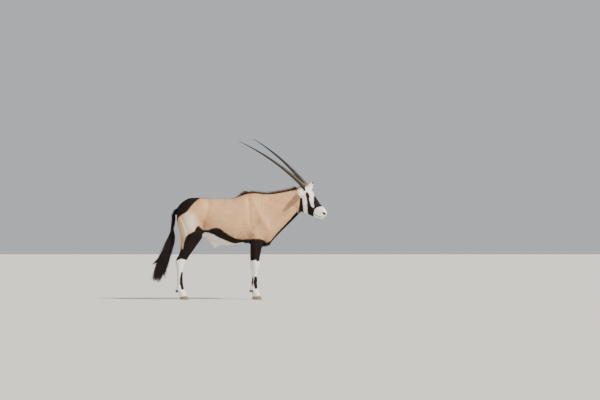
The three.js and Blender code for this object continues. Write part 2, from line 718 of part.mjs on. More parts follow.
// The whole head, and the body it sits on
const grownHead = onHead(join(...headPieces(SEAM), ...lids(1), ...lids(-1)));
const wholeHead = onHead(
  join(...headPieces(0), ...lids(1), ...lids(-1))
    .subtract(mouthCut())
    .subtract(join(...bothSides(nostril), ...bothSides((s) => eye(s, GAP)))),
);
const wholeBody = join(...bodyPieces(0));
const grownBody = join(...bodyPieces(SEAM));

const napeAxis = V(...NAPE_PLANE[1]).transformDirection(headMatrix());
const napePoint = NAPE_PLANE[0].clone().applyMatrix4(headMatrix());
const aheadOfNape = (offset) => beyond(napePoint.clone().addScaledVector(napeAxis, offset), napeAxis);
const aheadOfChest = (offset) =>
  beyond(NECK_PLANE[0].clone().addScaledVector(NECK_PLANE[1].clone().normalize(), offset), NECK_PLANE[1]);

const allLegSpace = (grow) =>
  join(...["fore", "hind"].flatMap((limb) => [1, -1].map((sign) => legSpace(limb, sign, grow))));
const wholeFlesh = wholeBody.add(wholeHead);
const trunk = wholeBody.subtract(allLegSpace(GAP));

place("head", wholeFlesh.intersect(aheadOfNape(GAP / 2)), "head");
const chestToPoll = wholeFlesh.subtract(allLegSpace(GAP)).intersect(aheadOfChest(GAP / 2));
place("neck", chestToPoll.subtract(aheadOfNape(-GAP / 2)), "coat");
place("torso", trunk.subtract(aheadOfChest(-GAP / 2)), "coat");

for (const [side, sign] of [["left", 1], ["right", -1]]) {
  for (const limb of ["fore", "hind"]) {
    const foot = `${limb}_${side}`;
    const toes = [["inner", -sign], ["outer", sign]];
    const spurs = toes.map(([, inner]) => dewclaw(limb, sign, inner, GAP));
    place(
      `leg_${foot}`,
      wholeBody
        .intersect(legSpace(limb, sign, 0))
        .subtract(aheadOfChest(-GAP / 2).intersect(beyond(V(0, 0, 560), V(0, 0, 1))))
        .intersect(hairline(limb, sign, GAP / 2))
        .subtract(join(...spurs)),
      "leg",
    );
    for (const [toe, inner] of toes) {
      const hoof = claw(limb, sign, inner).subtract(hairline(limb, sign, -GAP / 2));
      place(`hoof_${foot}_${toe}`, hoof, "hoof");
      place(`dewclaw_${foot}_${toe}`, dewclaw(limb, sign, inner), "hoof");
    }
  }
  place(`horn_${side}`, onHead(horn(sign)).subtract(grownHead), "horn");
  const besideEar = grownHead.add(onHead(horn(sign, 1)));
  place(`ear_${side}`, onHead(ear(sign, EAR_POSE[side])).subtract(besideEar), "coat");
  place(`eye_${side}`, onHead(eye(sign)), "eye");
}
const DOCK_END = V(-742, 0, 760);
const DOCK_AIM = V(-0.2, 0, -1);
const dock = hooped(DOCK, { sides: 10, step: 55 });
place("tail_dock", dock.subtract(grownBody).subtract(beyond(DOCK_END, DOCK_AIM)), "hair");
const tuft = join(tuftCore(), dock, ...tuftLocks(), ...STRAY_LOCKS.map(strayLock));
const belowDock = beyond(DOCK_END.clone().setZ(DOCK_END.z - GAP), DOCK_AIM);
place("tail_tuft", tuft.intersect(belowDock), "hair");
const mane = join(hooped(MANE, { sides: 8, step: 60 }), ...maneLocks());
place("mane", mane.subtract(grownBody).subtract(grownHead), "hair");

// The origin: under the middle of the whole animal, on the floor
const extent = new THREE.Box3().setFromObject(gemsbok);
const middle = extent.getCenter(V(0, 0, 0));
gemsbok.position.set(-middle.x, -middle.y, -extent.min.z);

export default gemsbok;
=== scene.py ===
import math

import bmesh
import bpy
import numpy as np
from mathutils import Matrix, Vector


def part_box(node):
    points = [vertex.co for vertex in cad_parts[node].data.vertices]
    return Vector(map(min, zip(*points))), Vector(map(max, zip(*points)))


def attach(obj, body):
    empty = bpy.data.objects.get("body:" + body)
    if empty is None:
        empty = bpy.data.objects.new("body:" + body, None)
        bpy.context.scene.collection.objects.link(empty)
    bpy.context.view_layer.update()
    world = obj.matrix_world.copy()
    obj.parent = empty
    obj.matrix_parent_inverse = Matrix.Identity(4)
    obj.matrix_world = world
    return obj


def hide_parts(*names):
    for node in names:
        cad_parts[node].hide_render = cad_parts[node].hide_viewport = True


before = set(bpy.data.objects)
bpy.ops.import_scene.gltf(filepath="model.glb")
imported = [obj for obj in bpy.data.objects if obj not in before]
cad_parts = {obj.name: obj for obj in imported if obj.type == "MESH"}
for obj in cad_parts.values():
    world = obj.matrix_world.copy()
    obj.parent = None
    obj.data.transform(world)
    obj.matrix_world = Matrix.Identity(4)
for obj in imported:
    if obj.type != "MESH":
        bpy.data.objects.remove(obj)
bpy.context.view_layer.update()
MM = 0.001

# The skin stands inside the CAD flesh by the depth of the short coat
COAT_DEPTH = 2.5
VOXEL = 3.0
SKIN_TRIANGLES = 186000
TUFTS = 120000
COAT_PIECES = 8
TAIL_STRANDS = 2500
MANE_STRANDS = 2600

# Where the row frame lies against the animal's own frame, whose middle plane is y = 0
right_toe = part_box("hoof_fore_right_outer")
left_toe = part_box("hoof_fore_left_outer")
SHIFT_X = 258 - right_toe[1].x / MM
SHIFT_Y = -(left_toe[0].y + right_toe[1].y) / 2 / MM
FAR_SHIFT = {"fore": -24, "hind": -16}

# How the head is carried
HEAD_PIVOT = (671, -14)
HEAD_TURN = math.radians(-22)
HEAD_TILT = math.radians(7)
TILT_HEIGHT = 1130
EYE_PLACE = (129, 49, 1149)
EYE_RADIUS = 19
EYE_SLANT = math.radians(35)
# Half length of the eye's opening and its reach above and below
EYE_OPENING = (16.6, 10.4, 8.4)
LID_REACH = 24

random = np.random.default_rng(20)


def own(points):
    """Row frame in metres to the animal's own frame in millimetres."""
    return np.asarray(points, float) / MM + (SHIFT_X, SHIFT_Y, 0)


def row(points):
    return (np.asarray(points, float) - (SHIFT_X, SHIFT_Y, 0)) * MM


def turn_z(p, angle):
    c, s = math.cos(angle), math.sin(angle)
    return np.stack([c * p[..., 0] - s * p[..., 1], s * p[..., 0] + c * p[..., 1], p[..., 2]], -1)


def turn_x(p, angle):
    c, s = math.cos(angle), math.sin(angle)
    return np.stack([p[..., 0], c * p[..., 1] - s * p[..., 2], s * p[..., 1] + c * p[..., 2]], -1)


LIFTED = np.array([0, 0, TILT_HEIGHT])
PIVOT = np.array([HEAD_PIVOT[0], HEAD_PIVOT[1], 0])


def to_head(p):
    """The animal's frame to the head's own: forward, left, up."""
    p = turn_z(np.asarray(p, float) - PIVOT, -HEAD_TURN)
    return turn_x(p - LIFTED, -HEAD_TILT) + LIFTED


def from_head(p):
    p = turn_x(np.asarray(p, float) - LIFTED, HEAD_TILT) + LIFTED
    return turn_z(p, HEAD_TURN) + PIVOT


def smooth(x, low, high):
    t = np.clip((x - low) / (high - low), 0, 1)
    return t * t * (3 - 2 * t)


def chain(points, stations):
    """How far inside a run of balls of changing radius each point lies. A station without y takes all y."""
    best = np.full(len(points), -1e9)
    flat = len(stations[0]) == 3
    for a, b in zip(stations[:-1], stations[1:]):
        a, b = np.array(a, float), np.array(b, float)
        p = points[:, [0, 2]] if flat else points
        start, step = a[:-1], b[:-1] - a[:-1]
        t = np.clip((p - start) @ step / (step @ step), 0, 1)
        far = np.linalg.norm(p - (start + t[:, None] * step), axis=1)
        best = np.maximum(best, a[-1] + t * (b[-1] - a[-1]) - far)
    return best


def head_weight(p):
    """1 on the head, 0 on the neck."""
    h = to_head(p)
    return smooth(h[:, 0], -25, 15)


def limb_weight(p):
    """1 on the legs below elbow and knee, 0 on the body."""
    return 1 - smooth(p[:, 2], 560, 760)


def mirrored(h):
    """Both sides of the head laid over its left side."""
    return np.stack([h[:, 0], abs(h[:, 1]), h[:, 2]], 1)


def outline(points, corners):
    """How far inside a closed outline in the side view each point lies."""
    p = points[:, [0, 2]]
    far = np.full(len(p), 1e9)
    inside = np.zeros(len(p), bool)
    for (ax, az), (bx, bz) in zip(corners, corners[1:] + corners[:1]):
        step = np.array([bx - ax, bz - az], float)
        t = np.clip((p - (ax, az)) @ step / (step @ step), 0, 1)
        far = np.minimum(far, np.linalg.norm(p - (ax, az) - t[:, None] * step, axis=1))
        crosses = (az > p[:, 1]) != (bz > p[:, 1])
        at = ax + (p[:, 1] - az) / (bz - az + 1e-9) * (bx - ax)
        inside ^= crosses & (p[:, 0] < at)
    return np.where(inside, far, -far)


# Marks on the body, as outlines in the side view, from front to back or the same on both sides
FLANK_STRIPE = [(-398, 744), (-365, 765), (-321, 772), (-288, 785), (-243, 796), (-199, 785), (-155, 752),
                (-100, 713), (-44, 682), (11, 669), (66, 664), (110, 669), (240, 672), (240, 625), (111, 630),
                (11, 619), (-44, 619), (-100, 636), (-155, 658), (-210, 682), (-265, 713), (-321, 742),
                (-365, 744), (-398, 730)]
HIND_GARTER = [(-575, 702), (-542, 724), (-476, 763), (-453, 813), (-438, 828), (-424, 800), (-387, 770),
               (-362, 758), (-392, 728), (-404, 690), (-420, 600), (-470, 500), (-530, 440), (-566, 434),
               (-630, 452), (-700, 425), (-730, 520), (-700, 640), (-640, 640), (-626, 560), (-612, 560),
               (-598, 636)]
FORE_GARTER = [(60, 700), (270, 664), (300, 640), (300, 600), (280, 560), (262, 432), (200, 422), (190, 440),
               (120, 424), (60, 520)]
RUMP = [(-398, 1136), (-450, 1100), (-506, 1048), (-538, 1004), (-560, 966), (-604, 946), (-641, 926),
        (-664, 900), (-676, 860), (-780, 850), (-780, 1300), (-398, 1300)]
PALE_HAUNCH = [(-604, 905), (-560, 945), (-500, 925), (-468, 850), (-474, 780), (-540, 738), (-588, 716),
               (-606, 800)]
# Runs of balls: place and radius
CANNON_FORE = [(188, 244, 16), (187, 192, 26), (190, 136, 18)]
CANNON_HIND = [(-624, 300, 10), (-628, 240, 20), (-626, 180, 24), (-618, 128, 17)]
SPINE = [(-440, 0, 1130, 15), (-264, 0, 1119, 11), (-66, 0, 1119, 10), (90, 0, 1179, 13), (176, 0, 1185, 16),
         (318, -1, 1170, 18), (462, -5, 1189, 18), (574, -11, 1211, 18), (660, -18, 1226, 17)]
THROAT = [(150, 0, 606, 40), (262, 0, 598, 68), (318, 0, 612, 61), (352, 0, 650, 49), (398, -3, 700, 45),
          (470, -5, 758, 44), (537, -8, 816, 46), (600, -11, 872, 50), (655, -15, 928, 54),
          (702, -26, 975, 58)]
BELLY_LINE = [(-430, 735), (-343, 745), (-290, 728), (-243, 708), (-199, 690), (-155, 658), (-100, 636),
              (-44, 621), (11, 618), (150, 612), (260, 585)]
# Marks on the head, as outlines in its own side view
FACE_BLACK = [(36, 1248), (66, 1222), (90, 1197), (101, 1160), (109, 1119), (110, 1074), (106, 1029),
              (103, 994), (97, 948), (90, 880), (165, 880), (166, 931), (175, 960), (190, 1000), (217, 1019),
              (252, 1026), (360, 1030), (360, 1170), (200, 1185), (150, 1215), (98, 1244), (56, 1264)]
FACE_WHITE = [(92, 1238), (110, 1256), (260, 1256), (260, 1158), (170, 1158), (176, 1144), (180, 1109),
              (181, 1068), (187, 1035), (176, 1016), (155, 1034), (144, 1074), (137, 1116), (141, 1150),
              (134, 1182), (112, 1192), (99, 1212)]
CHEEK = [(58, 1214), (60, 1185), (54, 1130), (54, 1045), (48, 1000), (42, 950), (36, 880), (90, 880),
         (97, 948), (103, 994), (106, 1029), (110, 1074), (109, 1119), (101, 1160), (88, 1197), (66, 1218)]
JAW_LINE = [(38, 1180), (60, 1190), (62, 1130), (62, 1050), (56, 1000), (50, 950), (44, 880), (-20, 880),
            (2, 985), (20, 1050), (30, 1110)]
MUZZLE = [(164, 860), (166, 931), (175, 960), (190, 1000), (217, 1019), (252, 1026), (400, 1030), (400, 860)]
CROWN = [(20, 1240), (60, 1262), (98, 1240), (128, 1248), (128, 1330), (20, 1330)]
NOSTRIL = [(280, 963, 7), (292, 953, 11), (302, 941, 11)]
MOUTH = [(140, 955), (178, 938), (222, 920), (262, 911), (330, 908)]

EAR_PLACE = (40, 60, 1190)
EAR_LENGTH = 188
# Lift and forward turn of each ear in degrees
EAR_POSE = {1: (27, 11), -1: (-4, 12)}


def up_the_ear(h):
    """The share of the ear's length at which each point lies, and how far it is from the middle line."""
    best_t, best_far = np.zeros(len(h)), np.full(len(h), 1e9)
    for sign, (lift, turn) in EAR_POSE.items():
        lift, turn = math.radians(lift), math.radians(turn)
        across = math.cos(turn)
        way = np.array([math.sin(turn), sign * across * math.cos(lift), across * math.sin(lift)])
        away = h - np.array(EAR_PLACE) * (1, sign, 1)
        t = away @ way
        far = np.linalg.norm(away - t[:, None] * way, axis=1)
        closer = (far < best_far) & (h[:, 1] * sign > 0)
        best_t, best_far = np.where(closer, t / EAR_LENGTH, best_t), np.where(closer, far, best_far)
    return best_t, best_far


def on_ear(h):
    """1 on the ears, 0 on the skull."""
    t, far = up_the_ear(h)
    return smooth(t, 0.0, 0.12) * (far < 60)


def masks(points):
    """Signed depth into each kind of mark, in millimetres, for points in the row frame."""
    p = own(points)
    h = to_head(p)
    on_head = h[:, 0] > -6
    wide = abs(p[:, 1])
    none = -60.0

    def leg(kind):
        q = p.copy()
        drop = np.clip(2.5 * (1 - q[:, 2] / 650), 0, 1)
        q[:, 0] -= np.where(p[:, 1] > 0, FAR_SHIFT[kind] * drop, 0)
        return q

    fore, hind = leg("fore"), leg("hind")
    ahead = p[:, 0] > -60
    black = np.where(wide > 60, outline(p, FLANK_STRIPE), none)
    black = np.maximum(black, np.where(ahead | (wide < 30), none, outline(hind, HIND_GARTER)))
    black = np.maximum(black, np.where(ahead & (p[:, 2] < 668), outline(fore, FORE_GARTER), none))
    black = np.maximum.reduce([black, chain(fore, CANNON_FORE), chain(hind, CANNON_HIND), outline(p, RUMP)])
    throat = chain(p, THROAT)
    black = np.maximum.reduce([black, chain(p, SPINE), throat])
    dock = np.where(p[:, 2] > 560, -684 - p[:, 0], none)
    black = np.maximum(black, dock)

    muzzle, face_white = outline(h, MUZZLE), outline(h, FACE_WHITE)
    face_black = outline(h, FACE_BLACK)
    face = np.maximum(np.minimum(face_black, -face_white), outline(h, JAW_LINE))
    face = np.minimum(face, -muzzle)
    t, far = up_the_ear(h)
    ear = on_ear(h) > 0.5
    tip = (t - 0.86) * EAR_LENGTH
    face = np.where(ear, tip, face)
    black = np.where(on_head, face, black)
    near = (h[:, 0] > -60) & ~on_head
    black = np.where(near, np.maximum(black, outline(h, JAW_LINE)), black)

    belly = np.interp(p[:, 0], *zip(*BELLY_LINE)) - p[:, 2]
    under = np.minimum(belly, np.minimum(p[:, 0] + 425, 255 - p[:, 0]))
    white = np.minimum(under, 0)
    white = np.maximum(white, np.where(ahead, 440, 472 - 0.2 * (p[:, 0] + 640)) - p[:, 2])
    white = np.maximum(white, np.where((p[:, 2] < 700) & (p[:, 0] < 60), np.minimum(62 - wide, 30), none))
    white = np.minimum(white, np.where(ahead, 5 - throat, 60))
    cheek = np.maximum(outline(h, CHEEK), face_black + 5)
    ear_root = 46 - np.linalg.norm(mirrored(h) - EAR_PLACE, axis=1)
    white = np.where(on_head, np.maximum.reduce([muzzle, face_white, cheek, ear_root]), white)
    # Only the rim of each ear turns white; its middle keeps the cream that stands as painted shade
    white = np.where(ear, np.minimum(far - 14, -tip), white)
    pale_and_shade = np.where(ahead, none, outline(p, PALE_HAUNCH))
    # The belly and the ears take the cream tone as painted shade; on the haunch patch it is the coat's own
    # colour
    pale_and_shade = np.where(ear | (under > -8), 60, pale_and_shade)
    tan = np.where(on_head & ~ear, outline(h, CROWN), none)

    # The mouth's line and the nostrils are dark hairless skin, with painted shade in the mouth's crease and
    # the nostrils' openings
    line = np.interp(h[:, 0], *zip(*MOUTH))
    lip = np.where(h[:, 0] > 138, 3.0 - abs(h[:, 2] - line), none)
    hole = np.where(abs(h[:, 1]) > 12, chain(h, NOSTRIL), none)
    dark = np.where(on_head & ~ear, np.maximum(lip, hole), none)
    return {"black": black, "white": white, "pale_and_shade": pale_and_shade, "tan": tan, "dark": dark}


# Small builders

def node_group(name, outputs):
    group = bpy.data.node_groups.new(name, "ShaderNodeTree")
    for label, kind in outputs:
        group.interface.new_socket(label, in_out="OUTPUT", socket_type=kind)
    return group, group.nodes.new("NodeGroupOutput")


def add(tree, kind, **settings):
    node = tree.nodes.new(kind)
    for key, value in settings.items():
        if key in node.inputs.keys():
            node.inputs[key].default_value = value
        else:
            setattr(node, key, value)
    return node


def noise(tree, coordinate, scale, detail=3.0, roughness=0.55):
    made = add(tree, "ShaderNodeTexNoise", Scale=scale, Detail=detail, Roughness=roughness)
    tree.links.new(coordinate, made.inputs["Vector"])
    return made.outputs["Fac"]


def math_node(tree, operation, a, b=None, clamp=False):
    made = tree.nodes.new("ShaderNodeMath")
    made.operation = operation
    made.use_clamp = clamp
    for socket, value in zip(made.inputs, (a, b)):
        if value is None:
            continue
        if isinstance(value, (int, float)):
            socket.default_value = value
        else:
            tree.links.new(value, socket)
    return made.outputs[0]


def mix_color(tree, factor, a, b):
    made = tree.nodes.new("ShaderNodeMix")
    made.data_type = "RGBA"
    made.clamp_factor = True
    for socket, value in ((made.inputs[0], factor), (made.inputs[6], a), (made.inputs[7], b)):
        if isinstance(value, (int, float, tuple)):
            socket.default_value = value
        else:
            tree.links.new(value, socket)
    return made.outputs[2]


FAWN = (0.65, 0.40, 0.225, 1)
FAWN_DEEP = (0.51, 0.295, 0.155, 1)
# Cream: the coat's own colour on the haunch patch, painted shade on the belly and the ears
CREAM = (0.80, 0.69, 0.57, 1)
WHITE = (0.88, 0.84, 0.77, 1)
BLACK = (0.004, 0.0025, 0.002, 1)
BROWN_BLACK = (0.011, 0.006, 0.004, 1)
TAN = (0.42, 0.19, 0.08, 1)
# Dark hairless skin, also standing as painted shade in the mouth's crease and the nostrils' openings
BARE_SKIN_AND_SHADE = (0.018, 0.012, 0.011, 1)


def coat_group():
    """Colour of the coat and a mask for its hairless dark edges with their painted shade, from the mark
    attributes.
    """
    g, out = node_group("coat_colour", [("Color", "NodeSocketColor"), ("Bare_and_shade", "NodeSocketFloat")])
    where = g.nodes.new("ShaderNodeTexCoord").outputs["Object"]
    ragged = math_node(g, "MULTIPLY", math_node(g, "SUBTRACT", noise(g, where, 90, 4), 0.5), 16.0)
    broad = noise(g, where, 5.5, 3)
    fine = noise(g, where, 260, 3)

    def mask(name, soft, ragged_share=1.0):
        value = add(g, "ShaderNodeAttribute", attribute_name=name).outputs["Fac"]
        rough = math_node(g, "MULTIPLY", ragged, ragged_share)
        spread = math_node(g, "DIVIDE", math_node(g, "ADD", value, rough), soft)
        return math_node(g, "ADD", spread, 0.5, clamp=True)

    patchy = math_node(g, "MULTIPLY", math_node(g, "SUBTRACT", broad, 0.35), 2.2, clamp=True)
    base = mix_color(g, patchy, FAWN_DEEP, FAWN)
    # Cream over the haunch patch, and as painted shade over the belly and the ears
    base = mix_color(g, mask("pale_and_shade", 105), base, CREAM)
    base = mix_color(g, mask("tan", 18), base, TAN)
    base = mix_color(g, mask("white", 9, 0.7), base, WHITE)
    black = mix_color(g, broad, BLACK, BROWN_BLACK)
    base = mix_color(g, mask("black", 7, 0.7), base, black)
    shade = math_node(g, "ADD", math_node(g, "MULTIPLY", fine, 0.42), 0.79)
    tinted = add(g, "ShaderNodeMix", data_type="RGBA", blend_type="MULTIPLY")
    tinted.inputs[0].default_value = 1.0
    g.links.new(base, tinted.inputs[6])
    grey = add(g, "ShaderNodeCombineColor")
    for channel in grey.inputs:
        g.links.new(shade, channel)
    g.links.new(grey.outputs[0], tinted.inputs[7])
    # Dark hairless skin of lips and nostrils, with painted shade in the mouth's crease and the nostrils'
    # openings
    bare_and_shade = mask("dark", 2.5, 0.05)
    g.links.new(mix_color(g, bare_and_shade, tinted.outputs[2], BARE_SKIN_AND_SHADE), out.inputs["Color"])
    g.links.new(bare_and_shade, out.inputs["Bare_and_shade"])
    return g


def hair_normal_group():
    """Relief of fine strands that lie along the body."""
    g, out = node_group("coat_relief", [("Normal", "NodeSocketVector")])
    where = g.nodes.new("ShaderNodeTexCoord").outputs["Object"]
    stretched = add(g, "ShaderNodeMapping")
    stretched.inputs["Scale"].default_value = (0.22, 1.0, 0.75)
    stretched.inputs["Rotation"].default_value = (0, math.radians(-18), 0)
    g.links.new(where, stretched.inputs["Vector"])
    strands = noise(g, stretched.outputs[0], 620, 3, 0.6)
    clumps = noise(g, stretched.outputs[0], 120, 3, 0.6)
    low = add(g, "ShaderNodeBump", Strength=0.35, Distance=0.0035)
    g.links.new(clumps, low.inputs["Height"])
    high = add(g, "ShaderNodeBump", Strength=0.5, Distance=0.0012)
    g.links.new(strands, high.inputs["Height"])
    g.links.new(low.outputs[0], high.inputs["Normal"])
    g.links.new(high.outputs[0], out.inputs["Normal"])
    return g


COAT_COLOUR = coat_group()
COAT_RELIEF = hair_normal_group()


def new_material(name):
    made = bpy.data.materials.new(name)
    made.use_nodes = True
    return made, made.node_tree, made.node_tree.nodes["Principled BSDF"]


def coat_material(name, relief):
    made, tree, shader = new_material(name)
    colour = add(tree, "ShaderNodeGroup", node_tree=COAT_COLOUR)
    tree.links.new(colour.outputs["Color"], shader.inputs["Base Color"])
    shader.inputs["Specular IOR Level"].default_value = 0.16
    rough = add(tree, "ShaderNodeMapRange")
    rough.inputs["To Min"].default_value = 0.72
    rough.inputs["To Max"].default_value = 0.38
    tree.links.new(colour.outputs["Bare_and_shade"], rough.inputs["Value"])
    tree.links.new(rough.outputs[0], shader.inputs["Roughness"])
    if relief:
        bump = add(tree, "ShaderNodeGroup", node_tree=COAT_RELIEF)
        tree.links.new(bump.outputs["Normal"], shader.inputs["Normal"])
    return made


def strand_material(name, dark, light, scale):
    made, tree, shader = new_material(name)
    where = tree.nodes.new("ShaderNodeTexCoord").outputs["Object"]
    tone = noise(tree, where, scale, 3)
    tree.links.new(mix_color(tree, tone, dark, light), shader.inputs["Base Color"])
    shader.inputs["Roughness"].default_value = 0.5
    shader.inputs["Specular IOR Level"].default_value = 0.35
    return made


def mane_material():
    """Tan hair, black at its root and brown at its tip."""
    made, tree, shader = new_material("mane_hair")
    where = tree.nodes.new("ShaderNodeTexCoord").outputs["Object"]
    tip = add(tree, "ShaderNodeAttribute", attribute_name="tip").outputs["Fac"]
    tan = mix_color(tree, noise(tree, where, 60, 3), (0.13, 0.075, 0.045, 1), (0.46, 0.29, 0.175, 1))
    above = math_node(tree, "MULTIPLY", math_node(tree, "SUBTRACT", tip, 0.28), 5.0, clamp=True)
    end = math_node(tree, "MULTIPLY", math_node(tree, "SUBTRACT", tip, 0.7), 4.0, clamp=True)
    tan = mix_color(tree, above, (0.010, 0.007, 0.006, 1), tan)
    tree.links.new(mix_color(tree, end, tan, (0.03, 0.018, 0.012, 1)), shader.inputs["Base Color"])
    shader.inputs["Roughness"].default_value = 0.55
    shader.inputs["Specular IOR Level"].default_value = 0.3
    return made


def horn_material():
    made, tree, shader = new_material("horn")
    where = tree.nodes.new("ShaderNodeTexCoord").outputs["Object"]
    along = add(tree, "ShaderNodeAttribute", attribute_name="along").outputs["Fac"]
    tone = noise(tree, where, 34, 4)
    grain = noise(tree, where, 300, 3)
    # Paler in patches towards the root
    paler_low = math_node(tree, "MULTIPLY", math_node(tree, "SUBTRACT", 0.62, along, clamp=True), tone)
    paler_low_share = math_node(tree, "MULTIPLY", paler_low, 1.5, clamp=True)
    colour = mix_color(tree, paler_low_share, (0.007, 0.005, 0.004, 1), (0.075, 0.050, 0.034, 1))
    tree.links.new(colour, shader.inputs["Base Color"])
    worn = math_node(tree, "ADD", math_node(tree, "MULTIPLY", grain, 0.25), 0.27)
    tree.links.new(worn, shader.inputs["Roughness"])
    bump = add(tree, "ShaderNodeBump", Strength=0.4, Distance=0.0006)
    tree.links.new(grain, bump.inputs["Height"])
    tree.links.new(bump.outputs[0], shader.inputs["Normal"])
    return made


def hoof_material():
    made, tree, shader = new_material("hoof")
    where = tree.nodes.new("ShaderNodeTexCoord").outputs["Object"]
    layers = add(tree, "ShaderNodeMapping")
    layers.inputs["Scale"].default_value = (0.25, 0.25, 2.0)
    tree.links.new(where, layers.inputs["Vector"])
    tone = noise(tree, layers.outputs[0], 80, 4)
    colour = mix_color(tree, tone, (0.045, 0.034, 0.026, 1), (0.25, 0.19, 0.135, 1))
    tree.links.new(colour, shader.inputs["Base Color"])
    shader.inputs["Roughness"].default_value = 0.45
    bump = add(tree, "ShaderNodeBump", Strength=0.5, Distance=0.0008)
    tree.links.new(tone, bump.inputs["Height"])
    tree.links.new(bump.outputs[0], shader.inputs["Normal"])
    return made


def eye_material():
    made, tree, shader = new_material("eye")
    ring = add(tree, "ShaderNodeAttribute", attribute_name="pupil").outputs["Fac"]
    iris = mix_color(tree, ring, (0.004, 0.003, 0.003, 1), (0.035, 0.014, 0.006, 1))
    tree.links.new(iris, shader.inputs["Base Color"])
    shader.inputs["Roughness"].default_value = 0.1
    shader.inputs["Specular IOR Level"].default_value = 0.35
    return made


def plain_material(name, colour, roughness):
    made, _, shader = new_material(name)
    shader.inputs["Base Color"].default_value = colour
    shader.inputs["Roughness"].default_value = roughness
    return made


def mesh_object(name, verts, faces, material, attributes=None, uv=None, normals=None):
    """An object from arrays of points and of triangles or quads."""
    faces = np.asarray(faces, np.int32)
    mesh = bpy.data.meshes.new(name)
    sides = faces.shape[1]
    mesh.vertices.add(len(verts))
    mesh.vertices.foreach_set("co", np.asarray(verts, np.float32).ravel())
    mesh.loops.add(faces.size)
    mesh.loops.foreach_set("vertex_index", faces.ravel())
    mesh.polygons.add(len(faces))
    mesh.polygons.foreach_set("loop_start", np.arange(0, faces.size, sides, dtype=np.int32))
    mesh.polygons.foreach_set("loop_total", np.full(len(faces), sides, np.int32))
    mesh.update(calc_edges=True)
    for key, values in (attributes or {}).items():
        layer = mesh.attributes.new(key, "FLOAT", "POINT")
        layer.data.foreach_set("value", np.asarray(values, np.float32))
    if uv is not None:
        layer = mesh.uv_layers.new(name="OFBake")
        layer.data.foreach_set("uv", np.asarray(uv, np.float32)[faces.ravel()].ravel())
    mesh.materials.append(material)
    made = bpy.data.objects.new(name, mesh)
    bpy.context.scene.collection.objects.link(made)
    mesh.polygons.foreach_set("use_smooth", np.ones(len(faces), bool))
    mesh.validate()
    if normals is not None:
        mesh.normals_split_custom_set_from_vertices(normals)
    return made


def place(obj, nodes):
    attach(obj, "root")
    if nodes:
        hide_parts(*nodes)
    return obj


def only(obj):
    bpy.ops.object.select_all(action="DESELECT")
    obj.select_set(True)
    bpy.context.view_layer.objects.active = obj


def copy_of(nodes, name, grow):
    """Merged copies of CAD nodes in one object, each grown a little so that they overlap."""
    whole = bmesh.new()
    for node in nodes:
        part = bmesh.new()
        part.from_mesh(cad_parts[node].data)
        bmesh.ops.remove_doubles(part, verts=part.verts, dist=2e-5)
        part.normal_update()
        moved = [v.co + v.normal * grow * MM for v in part.verts]
        for v, co in zip(part.verts, moved):
            v.co = co
        piece = bpy.data.meshes.new("piece")
        part.to_mesh(piece)
        whole.from_mesh(piece)
        part.free()
        bpy.data.meshes.remove(piece)
    mesh = bpy.data.meshes.new(name)
    whole.to_mesh(mesh)
    whole.free()
    made = bpy.data.objects.new(name, mesh)
    bpy.context.scene.collection.objects.link(made)
    return made


def points_of(mesh):
    found = np.empty(len(mesh.vertices) * 3, np.float32)
    mesh.vertices.foreach_get("co", found)
    return found.reshape(-1, 3).astype(float)


def normals_of(mesh):
    found = np.empty(len(mesh.vertices) * 3, np.float32)
    mesh.vertices.foreach_get("normal", found)
    return found.reshape(-1, 3).astype(float)


def relax(points, edges, weight, rounds):
    """Moves each point towards the mean of its neighbours."""
    count = len(points)
    a = np.concatenate([edges[:, 0], edges[:, 1]])
    b = np.concatenate([edges[:, 1], edges[:, 0]])
    degree = np.maximum(np.bincount(a, minlength=count), 1)
    for _ in range(rounds):
        for axis in range(3):
            mean = np.bincount(a, weights=points[b, axis], minlength=count) / degree
            points[:, axis] += weight * (mean - points[:, axis])
    return points


# The skin

FLESH = ["torso", "neck", "head", "tail_dock", "ear_left", "ear_right"]
FLESH += [f"leg_{foot}" for foot in ("fore_left", "fore_right", "hind_left", "hind_right")]

# Rises and furrows of the body under the coat: stations as in a mark, width and height
FORMS = [
    ([(150, 1125), (196, 1010), (256, 890)], 32, 7),
    ([(262, 880), (300, 820), (338, 780)], 36, 9),
    ([(112, 1090), (118, 980), (130, 860), (158, 770)], 24, -9),
    ([(70, 1060), (62, 960), (74, 850)], 34, 4),
    ([(150, 810), (165, 750), (190, 700)], 38, 10),
    ([(96, 730), (116, 694), (128, 655)], 12, -9),
    ([(132, 710), (160, 676), (205, 655)], 9, -7),
    ([(120, 760), (140, 722), (170, 700)], 10, -5),
    ([(60, 830), (20, 760), (-10, 700)], 30, -6),
    ([(-330, 1050), (-350, 960), (-380, 860), (-398, 790)], 36, -12),
    ([(-420, 1085), (-404, 1050)], 30, 12),
    ([(-440, 1040), (-470, 940), (-460, 850)], 40, 6),
    ([(-640, 930), (-600, 850), (-560, 760), (-556, 690)], 14, -8),
    ([(-520, 900), (-500, 800), (-500, 720)], 60, 8),
    ([(-384, 850), (-392, 800), (-408, 760)], 12, -6),
    ([(-300, 1090), (-100, 1085), (60, 1110)], 26, 5),
    ([(330, 1100), (430, 1060), (540, 1040), (640, 1030)], 28, -8),
    ([(300, 760), (400, 850), (520, 930), (640, 1000)], 22, -9),
    ([(290, 1145), (420, 1152), (560, 1175)], 24, 6),
    ([(188, 560), (180, 480)], 12, 5),
    ([(214, 600), (206, 500)], 8, -4),
    ([(-606, 560), (-640, 480)], 9, -6),
    ([(-520, 600), (-560, 520)], 12, 5),
    ([(170, 250), (168, 140)], 6, -3),
    ([(-650, 300), (-640, 150)], 6, -3),
]
# Top of each rib in the side view
RIBS = [(-256, 1006), (-207, 1012), (-170, 996), (-121, 990), (-84, 998), (-30, 978), (6, 980)]


